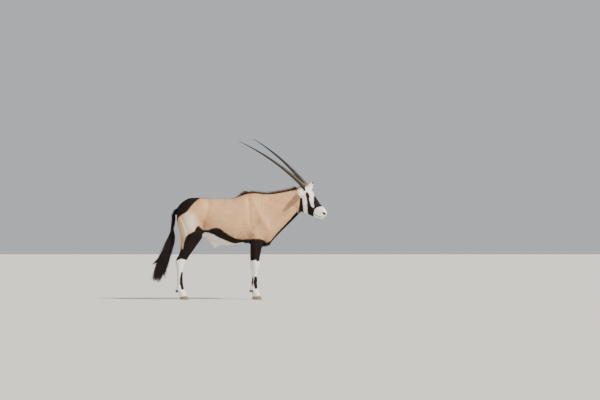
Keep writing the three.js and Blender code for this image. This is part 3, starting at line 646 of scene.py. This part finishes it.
def sculpt(p, n):
    """How far each point moves along its normal, in millimetres."""
    side = smooth(abs(n[:, 1]), 0.25, 0.7)
    rise = np.zeros(len(p))
    for line, width, high in FORMS:
        far = -chain(p, [(x, z, 0) for x, z in line])
        rise += high * np.exp(-(far / width) ** 2) * side
    for x, z in RIBS:
        far = -chain(p, [(x + 26, z, 0), (x - 34, z - 190, 0)])
        rise += 1.5 * np.exp(-(far / 13) ** 2) * side
    # Loose skin at the elbow and the throat
    fold = np.sin(p[:, 0] / 6.5 + p[:, 2] / 17)
    rise += 3.4 * fold * np.exp(-(-chain(p, [(112, 700, 0), (138, 660, 0)]) / 34) ** 2) * side
    # Fine upright wrinkles of the neck
    pleats = np.sin(p[:, 0] / 5.2 + 0.9 * np.sin(p[:, 2] / 33))
    rise += 1.8 * pleats * np.exp(-(-chain(p, [(300, 1075, 0), (480, 1040, 0)]) / 80) ** 2) * side
    crease = np.sin(to_head(p)[:, 0] / 9.0 - p[:, 2] / 60)
    rise += 1.3 * crease * np.exp(-(-chain(p, [(640, 1000, 0), (660, 1100, 0)]) / 38) ** 2)
    return rise * (1 - head_weight(p))


# The same on the head: stations as x, y, z and no radius
HEAD_FORMS = [
    ([(150, 44, 1118, 0), (196, 36, 1040, 0)], 11, 2.5),
    ([(92, 64, 1128, 0), (142, 52, 1090, 0), (176, 42, 1062, 0)], 9, 3.5),
    ([(96, 60, 1112, 0), (150, 46, 1062, 0), (190, 40, 1020, 0)], 13, -3.5),
    ([(112, 56, 1020, 0), (120, 46, 960, 0)], 12, -3),
    ([(150, 48, 1172, 0), (162, 44, 1150, 0)], 7, -3),
    ([(108, 60, 1172, 0), (130, 56, 1182, 0), (150, 50, 1172, 0)], 8, 4),
    ([(104, 62, 1136, 0), (124, 60, 1124, 0), (146, 54, 1128, 0)], 5, -2.2),
    ([(284, 38, 961, 0), (294, 35, 951, 0), (303, 29, 940, 0)], 6.5, -10),
    ([(276, 36, 975, 0), (296, 30, 968, 0), (308, 20, 952, 0)], 6, 2.6),
    ([(278, 38, 945, 0), (290, 36, 934, 0), (302, 30, 924, 0)], 6, 2.2),
    ([(262, 0, 886, 0), (300, 0, 890, 0)], 16, 4),
    ([(309, 0, 960, 0), (309, 0, 925, 0)], 3.5, -3),
    ([(262, 34, 925, 0), (222, 38, 934, 0), (180, 42, 952, 0)], 9, 3),
    ([(262, 30, 896, 0), (222, 34, 902, 0)], 9, 2.5),
]


def sculpt_head(p):
    h = to_head(p)
    side = mirrored(h)
    rise = np.zeros(len(p))
    for line, width, high in HEAD_FORMS:
        far = -chain(side, line)
        rise += high * np.exp(-(far / width) ** 2)
    line = np.interp(h[:, 0], *zip(*MOUTH))
    groove = smooth(h[:, 0], 134, 150) * np.exp(-((h[:, 2] - line) / 2.6) ** 2)
    return (rise - 3.6 * groove) * head_weight(p)


def build_skin():
    skin = copy_of(FLESH, "skin", 0.6)
    skin.data.remesh_voxel_size = VOXEL * MM
    skin.data.remesh_voxel_adaptivity = 0.0
    only(skin)
    bpy.ops.object.voxel_remesh()
    mesh = skin.data
    p = points_of(mesh)
    edges = np.empty(len(mesh.edges) * 2, np.int32)
    mesh.edges.foreach_get("vertices", edges)
    edges = edges.reshape(-1, 2)
    q = own(p)
    h = to_head(q)
    head = head_weight(q)
    limb = limb_weight(q)
    ear = on_ear(h)
    dock = smooth(-q[:, 0], 694, 706) * smooth(q[:, 2], 600, 700)
    calm = np.clip(np.maximum.reduce([limb * 0.86, head * 0.9, dock * 0.95]), 0, 1)
    broad = 0.6 * (1 - calm)
    p = relax(p, edges, broad, int(150 * (3.0 / VOXEL) ** 2))
    p = relax(p, edges, 0.5 * (1 - ear), int(9 * (3.0 / VOXEL) ** 2))
    p = relax(p, edges, 0.3 * ear, 2)
    mesh.vertices.foreach_set("co", p.astype(np.float32).ravel())
    mesh.update()
    n = normals_of(mesh)
    q = own(p)
    depth = COAT_DEPTH * (1 - 0.55 * np.maximum(head, limb))
    thin = np.maximum(ear, dock)
    rise = sculpt(q, n) + sculpt_head(q) * (1 - ear) - depth * (1 - thin)
    p = p + n * rise[:, None] * MM
    mesh.vertices.foreach_set("co", p.astype(np.float32).ravel())
    mesh.update()
    # Fewer faces where the form is broad
    group = skin.vertex_groups.new(name="broad")
    share = np.clip(1 - np.maximum(head, 0.55 * limb), 0, 1)
    for level in np.linspace(0, 1, 6):
        members = np.where(abs(share - level) <= 0.1)[0]
        group.add([int(i) for i in members], float(0.15 + 0.85 * level), "REPLACE")
    count = sum(len(f.vertices) - 2 for f in mesh.polygons)
    thinner = skin.modifiers.new("thinner", "DECIMATE")
    thinner.ratio = min(1.0, SKIN_TRIANGLES / count)
    thinner.vertex_group = "broad"
    thinner.vertex_group_factor = 0.7
    thinner.use_collapse_triangulate = True
    only(skin)
    bpy.ops.object.modifier_apply(modifier="thinner")
    skin.vertex_groups.clear()
    bpy.ops.object.shade_smooth()
    bpy.ops.object.mode_set(mode="EDIT")
    bpy.ops.mesh.select_all(action="SELECT")
    bpy.ops.uv.smart_project(angle_limit=math.radians(72), island_margin=0.001)
    bpy.ops.object.mode_set(mode="OBJECT")
    mesh = skin.data
    mesh.uv_layers[0].name = "OFBake"
    for key, values in masks(points_of(mesh)).items():
        layer = mesh.attributes.new(key, "FLOAT", "POINT")
        layer.data.foreach_set("value", values.astype(np.float32))
    mesh.materials.clear()
    mesh.materials.append(coat_material("skin", True))
    return place(skin, FLESH)


# Tufts

def prism(rings):
    """Faces of a run of three-sided rings, closed at its first end."""
    faces = [(0, 1, 2)]
    for s in range(rings - 1):
        a, b = 3 * s, 3 * s + 3
        for i, j in ((1, 0), (0, 2), (2, 1)):
            faces += [(a + i, a + j, b + j), (a + i, b + j, b + i)]
    return faces


def blades(roots, lie, out, length, width, lift, curl, segments=2):
    """Flat three-sided tapered blades. Returns points, triangles and each point's blade."""
    side = np.cross(out, lie)
    side /= np.linalg.norm(side, axis=1)[:, None] + 1e-12
    shares = np.linspace(0, 1, segments + 1)
    rows = []
    for t in shares[:-1]:
        angle = lift + curl * t
        at = roots + (length * t)[:, None] * (lie * np.cos(angle)[:, None] + out * np.sin(angle)[:, None])
        wide = width * (1 - t ** 1.6) * (0.75 + 0.5 * t)
        thick = wide * 0.22
        rows += [at + side * (wide / 2)[:, None], at - side * (wide / 2)[:, None], at + out * thick[:, None]]
    angle = lift + curl
    rows.append(roots + length[:, None] * (lie * np.cos(angle)[:, None] + out * np.sin(angle)[:, None]))
    points = np.stack(rows, 1)
    per = points.shape[1]
    faces = prism(segments)
    last, tip = 3 * (segments - 1), per - 1
    faces += [(last + 1, last, tip), (last, last + 2, tip), (last + 2, last + 1, tip)]
    start = (np.arange(len(roots)) * per)[:, None, None]
    faces = (np.array(faces)[None] + start).reshape(-1, 3)
    return points.reshape(-1, 3), faces, np.repeat(np.arange(len(roots)), per)


def patch(uv, blade, per):
    """Each blade's small patch of the bake map, at its root."""
    corner = np.array([(math.cos(a), math.sin(a)) for a in np.arange(per) * 2.4]) * 0.0015
    return np.clip(uv[blade] + np.tile(corner, (len(uv), 1)), 0.001, 0.999)


def flow(q, n):
    """The way the hair lies, in the animal's frame."""
    h = to_head(q)
    head = head_weight(q)[:, None]
    body = np.tile([-1.0, 0.0, -0.42], (len(q), 1))
    low = (1 - smooth(q[:, 2], 600, 900))[:, None]
    down = np.tile([-0.22, 0.0, -1.0], (len(q), 1))
    neck = smooth(q[:, 0], 260, 420)[:, None] * (1 - low)
    way = body * (1 - low) + down * low
    way = way * (1 - neck) + np.array([-0.75, 0, -0.7]) * neck
    nose = smooth(h[:, 0], 60, 220)[:, None]
    face = np.array([-0.55, 0, 0.62]) * nose + np.array([-0.9, 0, -0.35]) * (1 - nose)
    ear = on_ear(h)[:, None]
    face = face * (1 - ear) + np.stack([-0.1 + 0 * h[:, 0], np.sign(h[:, 1]), 0.1 + 0 * h[:, 0]], 1) * ear
    face = turn_z(turn_x(face, HEAD_TILT), HEAD_TURN)
    way = way * (1 - head) + face * head
    dock = (smooth(-q[:, 0], 692, 704) * smooth(q[:, 2], 600, 700))[:, None]
    way = way * (1 - dock) + np.array([-0.15, 0, -1.0]) * dock
    way -= n * np.sum(way * n, 1)[:, None]
    return way / (np.linalg.norm(way, axis=1)[:, None] + 1e-9)


def sample(mesh, count, density):
    """Places over a triangle mesh: points, normals and bake coordinates."""
    faces = np.empty(len(mesh.polygons) * 3, np.int32)
    mesh.polygons.foreach_get("vertices", faces)
    faces = faces.reshape(-1, 3)
    uv = np.empty(len(mesh.loops) * 2, np.float32)
    mesh.uv_layers["OFBake"].data.foreach_get("uv", uv)
    uv = uv.reshape(-1, 3, 2)
    p, n = points_of(mesh), normals_of(mesh)
    corner = p[faces]
    area = np.linalg.norm(np.cross(corner[:, 1] - corner[:, 0], corner[:, 2] - corner[:, 0]), axis=1)
    weight = area * density(corner.mean(1))
    total = np.cumsum(weight)
    # Evenly spaced along the running total, so that no spot is left bare
    spots = (np.arange(count) + random.random(count)) / count * total[-1]
    chosen = np.minimum(np.searchsorted(total, spots), len(faces) - 1)
    a, b = random.random(count), random.random(count)
    flip = a + b > 1
    a[flip], b[flip] = 1 - a[flip], 1 - b[flip]
    share = np.stack([1 - a - b, a, b], 1)
    at = np.einsum("ij,ijk->ik", share, corner[chosen])
    normal = np.einsum("ij,ijk->ik", share, n[faces[chosen]])
    normal /= np.linalg.norm(normal, axis=1)[:, None] + 1e-9
    return at, normal, np.einsum("ij,ijk->ik", share, uv[chosen])


def bare_places(q):
    """True where no hair grows: eyes, nostrils, lips and hooves."""
    h = to_head(q)
    side = mirrored(h)
    eye = np.linalg.norm(side - EYE_PLACE, axis=1) < EYE_RADIUS + 6
    nostril = (chain(h, NOSTRIL) > -2) & (side[:, 1] > 12)
    line = np.interp(h[:, 0], *zip(*MOUTH))
    lips = (h[:, 0] > 136) & (abs(h[:, 2] - line) < 3.5)
    nose_pad = (h[:, 0] > 303) & (side[:, 1] < 22)
    return ((eye | nostril | lips | nose_pad) & (h[:, 0] > 20)) | (q[:, 2] < 40)


def build_coat(skin):
    def density(points):
        q = own(points)
        head = head_weight(q)
        limb = limb_weight(q)
        return 1 + 3.6 * head + 1.4 * limb

    at, normal, uv = sample(skin.data, TUFTS, density)
    q = own(at)
    keep = ~bare_places(q)
    at, normal, uv, q = at[keep], normal[keep], uv[keep], q[keep]
    lie = flow(q, normal)
    lie += 0.16 * random.standard_normal(lie.shape)
    lie -= normal * np.sum(lie * normal, 1)[:, None]
    lie /= np.linalg.norm(lie, axis=1)[:, None]
    head = head_weight(q)
    h = to_head(q)
    limb = limb_weight(q)
    ear = on_ear(h)
    ridge = np.maximum(chain(q, THROAT) > 0, chain(q, SPINE) > 0) * (1 - head)
    length = 15 - 9 * head - 6 * limb * (1 - head) + 7 * ridge + 4 * ear
    muzzle = smooth(h[:, 0], 180, 280) * head
    crown = smooth(chain(h, [(60, 0, 1262, 40), (96, 0, 1256, 34)]), -6, 6) * head * (1 - ear)
    brisket = smooth(chain(q, [(275, 0, 600, 40), (335, 0, 625, 30)]), -5, 20)
    dock = smooth(-q[:, 0], 680, 704) * smooth(q[:, 2], 600, 700)
    length += 9 * crown + 24 * brisket + 26 * dock - 2.2 * muzzle
    length *= random.uniform(0.75, 1.2, len(q))
    width = np.where(head > 0.5, 1.9, 3.3 - 0.9 * limb) * random.uniform(0.8, 1.25, len(q))
    lift = random.uniform(0.12, 0.23, len(q)) + 0.1 * ridge + 0.25 * crown + 0.45 * brisket + 0.22 * dock
    curl = random.uniform(-0.12, 0.0, len(q))
    roots = at - normal * 0.5 * MM
    marks = masks(at)
    material = coat_material("coat_tufts", False)
    order = random.permutation(len(q))
    made = []
    for number, part in enumerate(np.array_split(order, COAT_PIECES)):
        points, faces, blade = blades(
            roots[part], lie[part], normal[part], length[part] * MM, width[part] * MM, lift[part], curl[part]
        )
        per = len(points) // len(part)
        values = {key: marks[key][part][blade] for key in marks}
        # The hair takes the light as the form under it does, a little unevenly
        facing = normal[part] + 0.16 * random.standard_normal((len(part), 3))
        facing /= np.linalg.norm(facing, axis=1)[:, None]
        piece = mesh_object(f"coat_{number + 1}", points, faces, material, values,
                            patch(uv[part], blade, per), facing[blade])
        made.append(place(piece, []))
    return made


# Long hair

def strands(paths, across, width, thick_share=0.3):
    """Tapered three-sided strands along paths of any number of steps."""
    count, steps, _ = paths.shape
    ahead = np.gradient(paths, axis=1)
    ahead /= np.linalg.norm(ahead, axis=2)[..., None] + 1e-12
    side = across - ahead * np.sum(across * ahead, 2)[..., None]
    side /= np.linalg.norm(side, axis=2)[..., None] + 1e-12
    out = np.cross(ahead, side)
    t = np.linspace(0, 1, steps)
    swell = np.sin(np.pi * np.minimum(1, t * 1.2 + 0.25)) ** 0.8
    wide = width[:, None] * (0.35 + 0.65 * swell) * (1 - t ** 5)
    wide[:, -1] = width * 0.02
    half = (wide / 2)[..., None]
    rows = np.stack([paths + side * half, paths - side * half, paths + out * half * 2 * thick_share], 2)
    points = rows.reshape(count, steps * 3, 3)
    per = steps * 3
    faces = prism(steps)
    last = 3 * (steps - 1)
    faces.append((last + 1, last, last + 2))
    start = (np.arange(count) * per)[:, None, None]
    faces = (np.array(faces)[None] + start).reshape(-1, 3)
    return points.reshape(-1, 3), faces, np.repeat(np.arange(count), per)


def orient(obj):
    """Turns every closed strand's faces out."""
    made = bmesh.new()
    made.from_mesh(obj.data)
    bmesh.ops.recalc_face_normals(made, faces=made.faces)
    made.to_mesh(obj.data)
    made.free()


# Tail hair: place down the tuft, front edge and back edge as x and z, half width
TUFT = np.array([
    (-720, 794, -754, 796, 13), (-706, 744, -770, 748, 24), (-694, 694, -788, 708, 33),
    (-700, 632, -816, 656, 42), (-722, 545, -852, 572, 46), (-744, 450, -892, 488, 46),
    (-772, 350, -936, 398, 40), (-826, 262, -956, 308, 30), (-876, 180, -974, 216, 18),
], float)
# Locks that stray from it: share of the length where each starts, its tip and how many strands
STRAYS = [(0.5, (-966, -14, 386), 260), (0.62, (-818, 22, 232), 170), (0.6, (-797, -20, 282), 150),
          (0.66, (-874, 26, 196), 90), (0.4, (-905, 20, 455), 60)]


def in_tuft(share, angle, out):
    at = np.clip(share, 0, 1) * (len(TUFT) - 1)
    index = np.minimum(at.astype(int), len(TUFT) - 2)
    rest = (at - index)[..., None]
    row_ = TUFT[index] * (1 - rest) + TUFT[index + 1] * rest
    middle = (row_[..., 0:2] + row_[..., 2:4]) / 2
    reach = (row_[..., 0:2] - row_[..., 2:4]) / 2
    xz = middle + reach * (out * np.cos(angle))[..., None]
    return np.stack([xz[..., 0], row_[..., 4] * out * np.sin(angle), xz[..., 1]], -1)


def build_tail():
    steps = 8
    t = np.linspace(0, 1, steps)[None]
    start = random.uniform(-0.08, 0.66, TAIL_STRANDS)[:, None]
    long = np.minimum(random.uniform(0.3, 0.52, TAIL_STRANDS)[:, None], 1.0 - start)
    angle = random.uniform(0, 2 * np.pi, TAIL_STRANDS)[:, None]
    twist = random.normal(0, 0.45, TAIL_STRANDS)[:, None]
    inner = random.uniform(0.1, 0.5, TAIL_STRANDS)[:, None]
    reach = random.uniform(0.35, 1.0, TAIL_STRANDS)[:, None] ** 0.8
    out = inner + (reach - inner) * t ** 0.8
    wave = 0.04 * np.sin(6 * t + 9 * angle)
    paths = in_tuft(start + long * t, angle + twist * t, out + wave)
    turned = angle + twist * t
    across = np.stack([-np.sin(turned), np.cos(turned), 0 * turned], -1)
    for share, tip, many in STRAYS:
        first = in_tuft(np.full((many, 1), share), 0, 0)
        down = in_tuft(np.full((many, 1), share + 0.14), 0, 0)
        spread = random.normal(0, 1, (many, 1, 3))
        reach = random.uniform(0.6, 1.04, many)[:, None, None]
        u = t[..., None] * reach
        line = first + (down - first) * u
        line = line + (np.array(tip) - line) * u ** 1.3 + spread * (9 * (1 - u) + 5)
        paths = np.concatenate([paths, line])
        across = np.concatenate([across, np.tile([0.2, 1.0, 0.1], (many, steps, 1))])
        angle = np.concatenate([angle, np.full((many, 1), 1.0)])
        start = np.concatenate([start, np.full((many, 1), share)])
    points, faces, blade = strands(paths, across, random.uniform(4, 8, len(paths)))
    uv = np.stack([(angle[:, 0] / (2 * np.pi)) * 0.98 + 0.01, start[:, 0] * 1.4 + 0.01], 1)
    material = strand_material("tail_hair", (0.005, 0.0035, 0.003, 1), (0.022, 0.013, 0.009, 1), 55)
    tail = mesh_object("tail_hair", row(points), faces, material, None, patch(uv, blade, steps * 3))
    orient(tail)
    return place(tail, ["tail_tuft"])


# Top line of the neck, on which the mane stands
CREST = np.array([
    (-90, 0, 1121), (-20, 0, 1137), (40, 0, 1166), (84, 0, 1183), (110, 0, 1184), (176, 0, 1187),
    (253, 0, 1179), (318, -1, 1171), (396, -3, 1178),
    (462, -5, 1190), (520, -8, 1200), (574, -11, 1213), (632, -15, 1227), (662, -18, 1229),
], float)


def build_mane():
    steps = 5
    t = np.linspace(0, 1, steps)[None, :, None]
    share = np.sort(random.random(MANE_STRANDS)) * (len(CREST) - 1)
    index = np.minimum(share.astype(int), len(CREST) - 2)
    rest = (share - index)[:, None]
    root = CREST[index] * (1 - rest) + CREST[index + 1] * rest
    offset = random.normal(0, 5.2, MANE_STRANDS)
    root[:, 1] += offset
    root[:, 2] -= 15 + offset ** 2 / 30
    grown = 0.25 + 0.75 * smooth(share, 0, 3)
    long = (random.uniform(32, 52, MANE_STRANDS) * grown)[:, None, None]
    lean = (offset * 0.055 + random.normal(0, 0.12, MANE_STRANDS))[:, None, None]
    rise = random.uniform(0.4, 0.85, MANE_STRANDS)[:, None, None]
    ahead = np.concatenate([-np.ones_like(t) * t * 0.9 + 0 * rise, lean * t, rise * np.sin(1.7 * t)], 2)
    paths = root[:, None] + long * ahead
    across = np.tile(np.array([0.25, 1.0, 0.0]), (MANE_STRANDS, steps, 1))
    points, faces, blade = strands(paths, across, random.uniform(2.6, 5, MANE_STRANDS))
    uv = np.stack([share / (len(CREST) - 1) * 0.98 + 0.01, np.clip(0.5 + offset / 40, 0.02, 0.98)], 1)
    tip = np.tile(np.repeat(np.linspace(0, 1, steps), 3), MANE_STRANDS)
    uv = patch(uv, blade, steps * 3)
    mane = mesh_object("mane_hair", row(points), faces, mane_material(), {"tip": tip}, uv)
    orient(mane)
    return place(mane, ["mane"])


# Horns

HORN_LENGTH, HORN_BASE, HORN_TIP = 892, 27, 2.2
HORN_SPREAD, HORN_RISE, HORN_BEND = math.radians(10.5), math.radians(47.5), math.radians(20)
HORN_ROOT = (80, 30, 1244)
HORN_RINGS = 26
RINGED_SHARE = 0.60


def build_horn(name, sign, material):
    steps, sides = 420, 28
    sunk = np.array([math.cos(HORN_RISE), -sign * math.sin(HORN_SPREAD), -math.sin(HORN_RISE)]) * 24
    centre = np.array(HORN_ROOT, float) * (1, sign, 1)
    rings, along = [], []
    round_ = np.arange(sides) * 2 * np.pi / sides
    for i in range(steps + 1):
        t = i / steps
        rise = HORN_RISE - HORN_BEND * t
        ahead = np.array([-math.cos(rise) * math.cos(HORN_SPREAD), sign * math.sin(HORN_SPREAD),
                          math.sin(rise) * math.cos(HORN_SPREAD)])
        ahead /= np.linalg.norm(ahead)
        up = np.array([0, 0, 1.0]) - ahead[2] * ahead
        up /= np.linalg.norm(up)
        across = np.cross(up, ahead)
        taper = min(1, 0.7 + 0.3 * t / 0.03) * (HORN_BASE + (HORN_TIP - HORN_BASE) * t ** 0.8)
        fade = np.clip((RINGED_SHARE - t) / 0.14, 0, 1) * np.clip(t / 0.05, 0, 1)
        phase = HORN_RINGS * (t / RINGED_SHARE) ** 0.92
        crest = (0.5 + 0.5 * math.sin(2 * math.pi * phase)) ** 1.7
        uneven = 1 + 0.25 * np.sin(3 * round_ + 5.1 * phase)
        radius = taper - 1.9 * fade * (1 - crest) * (0.75 + 0.25 * np.cos(round_)) * uneven
        radius = radius * (1 + 0.012 * np.sin(7 * round_ + 3 * t))
        if i in (0, steps):
            radius = radius * 0.35
        rings.append(centre + (sunk if i == 0 else 0) + 1.08 * (radius * np.cos(round_))[:, None] * up
                     + 0.94 * (radius * np.sin(round_))[:, None] * across)
        along += [t] * sides
        centre = centre + ahead * HORN_LENGTH / steps
    points = np.concatenate(rings + [rings[0].mean(0)[None], rings[-1].mean(0)[None]])
    along += [0, 1]
    ring = np.arange(steps)[:, None] * sides
    k = np.arange(sides)[None]
    a, b = ring + k, ring + (k + 1) % sides
    faces = np.concatenate([np.stack([a, b, b + sides], -1).reshape(-1, 3),
                            np.stack([a, b + sides, a + sides], -1).reshape(-1, 3)])
    k = np.arange(sides)
    low, high = len(points) - 2, len(points) - 1
    caps = [np.stack([(k + 1) % sides, k, np.full(sides, low)], 1),
            np.stack([steps * sides + k, steps * sides + (k + 1) % sides, np.full(sides, high)], 1)]
    horn = mesh_object(f"{name}_ridged", row(from_head(points)), np.concatenate([faces, *caps]), material,
                       {"along": along})
    orient(horn)
    return place(horn, [name])


# Eyes and lids

def build_eye(name, sign, material):
    bpy.ops.object.select_all(action="DESELECT")
    bpy.ops.mesh.primitive_uv_sphere_add(segments=40, ring_count=28, radius=1)
    ball = bpy.context.object
    ball.name = f"{name}_ball"
    p = points_of(ball.data)
    p = np.stack([p[:, 0], p[:, 2] * sign, p[:, 1]], 1)
    bulge = 1 + 0.05 * smooth(p[:, 1] * sign, 0.6, 1.0)
    h = p * EYE_RADIUS * bulge[:, None] + np.array(EYE_PLACE) * (1, sign, 1)
    ball.data.vertices.foreach_set("co", row(from_head(h)).astype(np.float32).ravel())
    pupil = smooth(np.hypot((p[:, 0] - 0.1) / 1.6, p[:, 2] + 0.05), 0.2, 0.32)
    layer = ball.data.attributes.new("pupil", "FLOAT", "POINT")
    layer.data.foreach_set("value", pupil.astype(np.float32))
    ball.data.update()
    orient(ball)
    ball.data.materials.append(material)
    only(ball)
    bpy.ops.object.shade_smooth()
    return place(ball, [name])


def build_lids(material):
    """The skin round each eye: a low cap with an almond opening and a thick rim, as one mesh."""
    points, faces = [], []
    around = 56
    turn = np.arange(around) * 2 * np.pi / around
    lift = np.sin(turn)
    x = EYE_OPENING[0] * np.cos(turn)
    z = np.where(lift > 0, EYE_OPENING[1], EYE_OPENING[2]) * np.sign(lift) * abs(lift) ** 0.85 - 0.05 * x
    edge = np.hypot(x, z)
    heading = np.arctan2(z, x) - EYE_SLANT
    # Share of the way from the opening to the cap's foot, and height over the eyeball
    profile = [(-0.04, -1.8), (0, 0.5), (0.05, 1.7), (0.12, 2.1), (0.2, 1.7), (0.28, 1.1), (0.36, 1.4),
               (0.48, 1.9), (0.62, 1.8), (0.8, 1.0), (1, 0)]
    steep = 0.93 * EYE_RADIUS
    for sign in (1, -1):
        base = sum(len(part) for part in points)
        rows = []
        for share, over in profile:
            r = edge + share * (LID_REACH - edge)
            ball = np.sqrt(EYE_RADIUS ** 2 - np.minimum(r, steep) ** 2) - 2.5 * np.maximum(0, r - steep)
            rows.append(np.stack([r * np.cos(heading), ball + over, r * np.sin(heading)], 1))
        rows += [np.array([[0, 8, 0]]), np.array([[0, -9, 0]])]
        points.append(np.concatenate(rows) * (1, sign, 1) + np.array(EYE_PLACE) * (1, sign, 1))
        last = base + (len(profile) - 1) * around
        middle = base + len(profile) * around
        for i in range(around):
            k = (i + 1) % around
            for ring in range(len(profile) - 1):
                a, b = base + ring * around + i, base + ring * around + k
                faces += [(a, b, b + around), (a, b + around, a + around)]
            faces += [(base + k, base + i, middle), (last + i, last + k, middle + 1)]
    lids = mesh_object("eyelids", row(from_head(np.concatenate(points))), faces, material)
    orient(lids)
    return place(lids, [])


# Hooves

def build_hooves(material, dark):
    claws = [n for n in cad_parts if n.startswith(("hoof", "dewclaw"))]
    made = []
    for kind in ("hoof", "dewclaw"):
        names = sorted(n for n in claws if n.startswith(kind))
        whole = copy_of(names, f"{kind}s", 0.0)
        whole.data.materials.clear()
        whole.data.materials.append(material if kind == "hoof" else dark)
        only(whole)
        if kind == "hoof":
            bevel = whole.modifiers.new("worn_edge", "BEVEL")
            bevel.width = 1.6 * MM
            bevel.segments = 2
            bevel.limit_method = "ANGLE"
            bevel.angle_limit = math.radians(40)
            bpy.ops.object.modifier_apply(modifier="worn_edge")
            bpy.ops.object.shade_smooth_by_angle(angle=math.radians(38))
        else:
            rounder = whole.modifiers.new("rounder", "SUBSURF")
            rounder.levels = 2
            bpy.ops.object.modifier_apply(modifier="rounder")
            bpy.ops.object.shade_smooth()
        made.append(place(whole, names))
    return made


skin = build_skin()
build_coat(skin)
build_tail()
build_mane()
HORN = horn_material()
build_horn("horn_left", 1, HORN)
build_horn("horn_right", -1, HORN)
EYE = eye_material()
build_eye("eye_left", 1, EYE)
build_eye("eye_right", -1, EYE)
build_lids(plain_material("lid", (0.007, 0.005, 0.004, 1), 0.8))
build_hooves(hoof_material(), plain_material("dewclaw", (0.045, 0.033, 0.026, 1), 0.6))

# Every CAD node gets the same plain finish
spare = plain_material("cad_finish", (0.3, 0.25, 0.2, 1), 0.7)
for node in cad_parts.values():
    node.data.materials.clear()
    node.data.materials.append(spare)

# Floor, light and camera

FLOOR_SIZE = 400
bpy.ops.object.select_all(action="DESELECT")
bpy.ops.mesh.primitive_plane_add(size=FLOOR_SIZE, location=(0, FLOOR_SIZE / 4, 0))
floor = bpy.context.object
floor.name = "floor"
bpy.ops.object.transform_apply(location=True, rotation=True, scale=True)
floor.data.materials.append(plain_material("floor", (0.72, 0.70, 0.67, 1), 0.9))


def sun(name, towards, strength, angle, colour):
    data = bpy.data.lights.new(name, "SUN")
    data.energy = strength
    data.angle = math.radians(angle)
    data.color = colour
    made = bpy.data.objects.new(name, data)
    made.rotation_euler = Vector(towards).to_track_quat("Z", "Y").to_euler()
    bpy.context.scene.collection.objects.link(made)


sun("key", (0.62, -0.62, 0.66), 6.2, 6, (1.0, 0.92, 0.80))
sun("fill", (-0.7, -0.6, 0.35), 0.6, 40, (0.9, 0.95, 1.0))

world = bpy.data.worlds.new("studio")
world.use_nodes = True
world.node_tree.nodes["Background"].inputs["Color"].default_value = (0.84, 0.86, 0.90, 1)
world.node_tree.nodes["Background"].inputs["Strength"].default_value = 0.6
bpy.context.scene.world = world

# The photo's long, low view of the animal's right side, with the animal left of the middle
MM_PER_PIXEL = 11.06
PHOTO_WIDTH = 600
CAMERA_DISTANCE = 30.0
CAMERA_HEIGHT = 0.55
camera_data = bpy.data.cameras.new("camera")
camera_data.sensor_width = 36
camera_data.lens = 36 * CAMERA_DISTANCE / (MM_PER_PIXEL * PHOTO_WIDTH * MM)
camera_data.clip_end = 600
camera = bpy.data.objects.new("camera", camera_data)
look_x = (61 * MM_PER_PIXEL - SHIFT_X) * MM
camera.location = (look_x, -CAMERA_DISTANCE, CAMERA_HEIGHT)
target = Vector((look_x, 0, 99.5 * MM_PER_PIXEL * MM))
camera.rotation_euler = (target - camera.location).to_track_quat("-Z", "Y").to_euler()
bpy.context.scene.collection.objects.link(camera)
bpy.context.scene.camera = camera
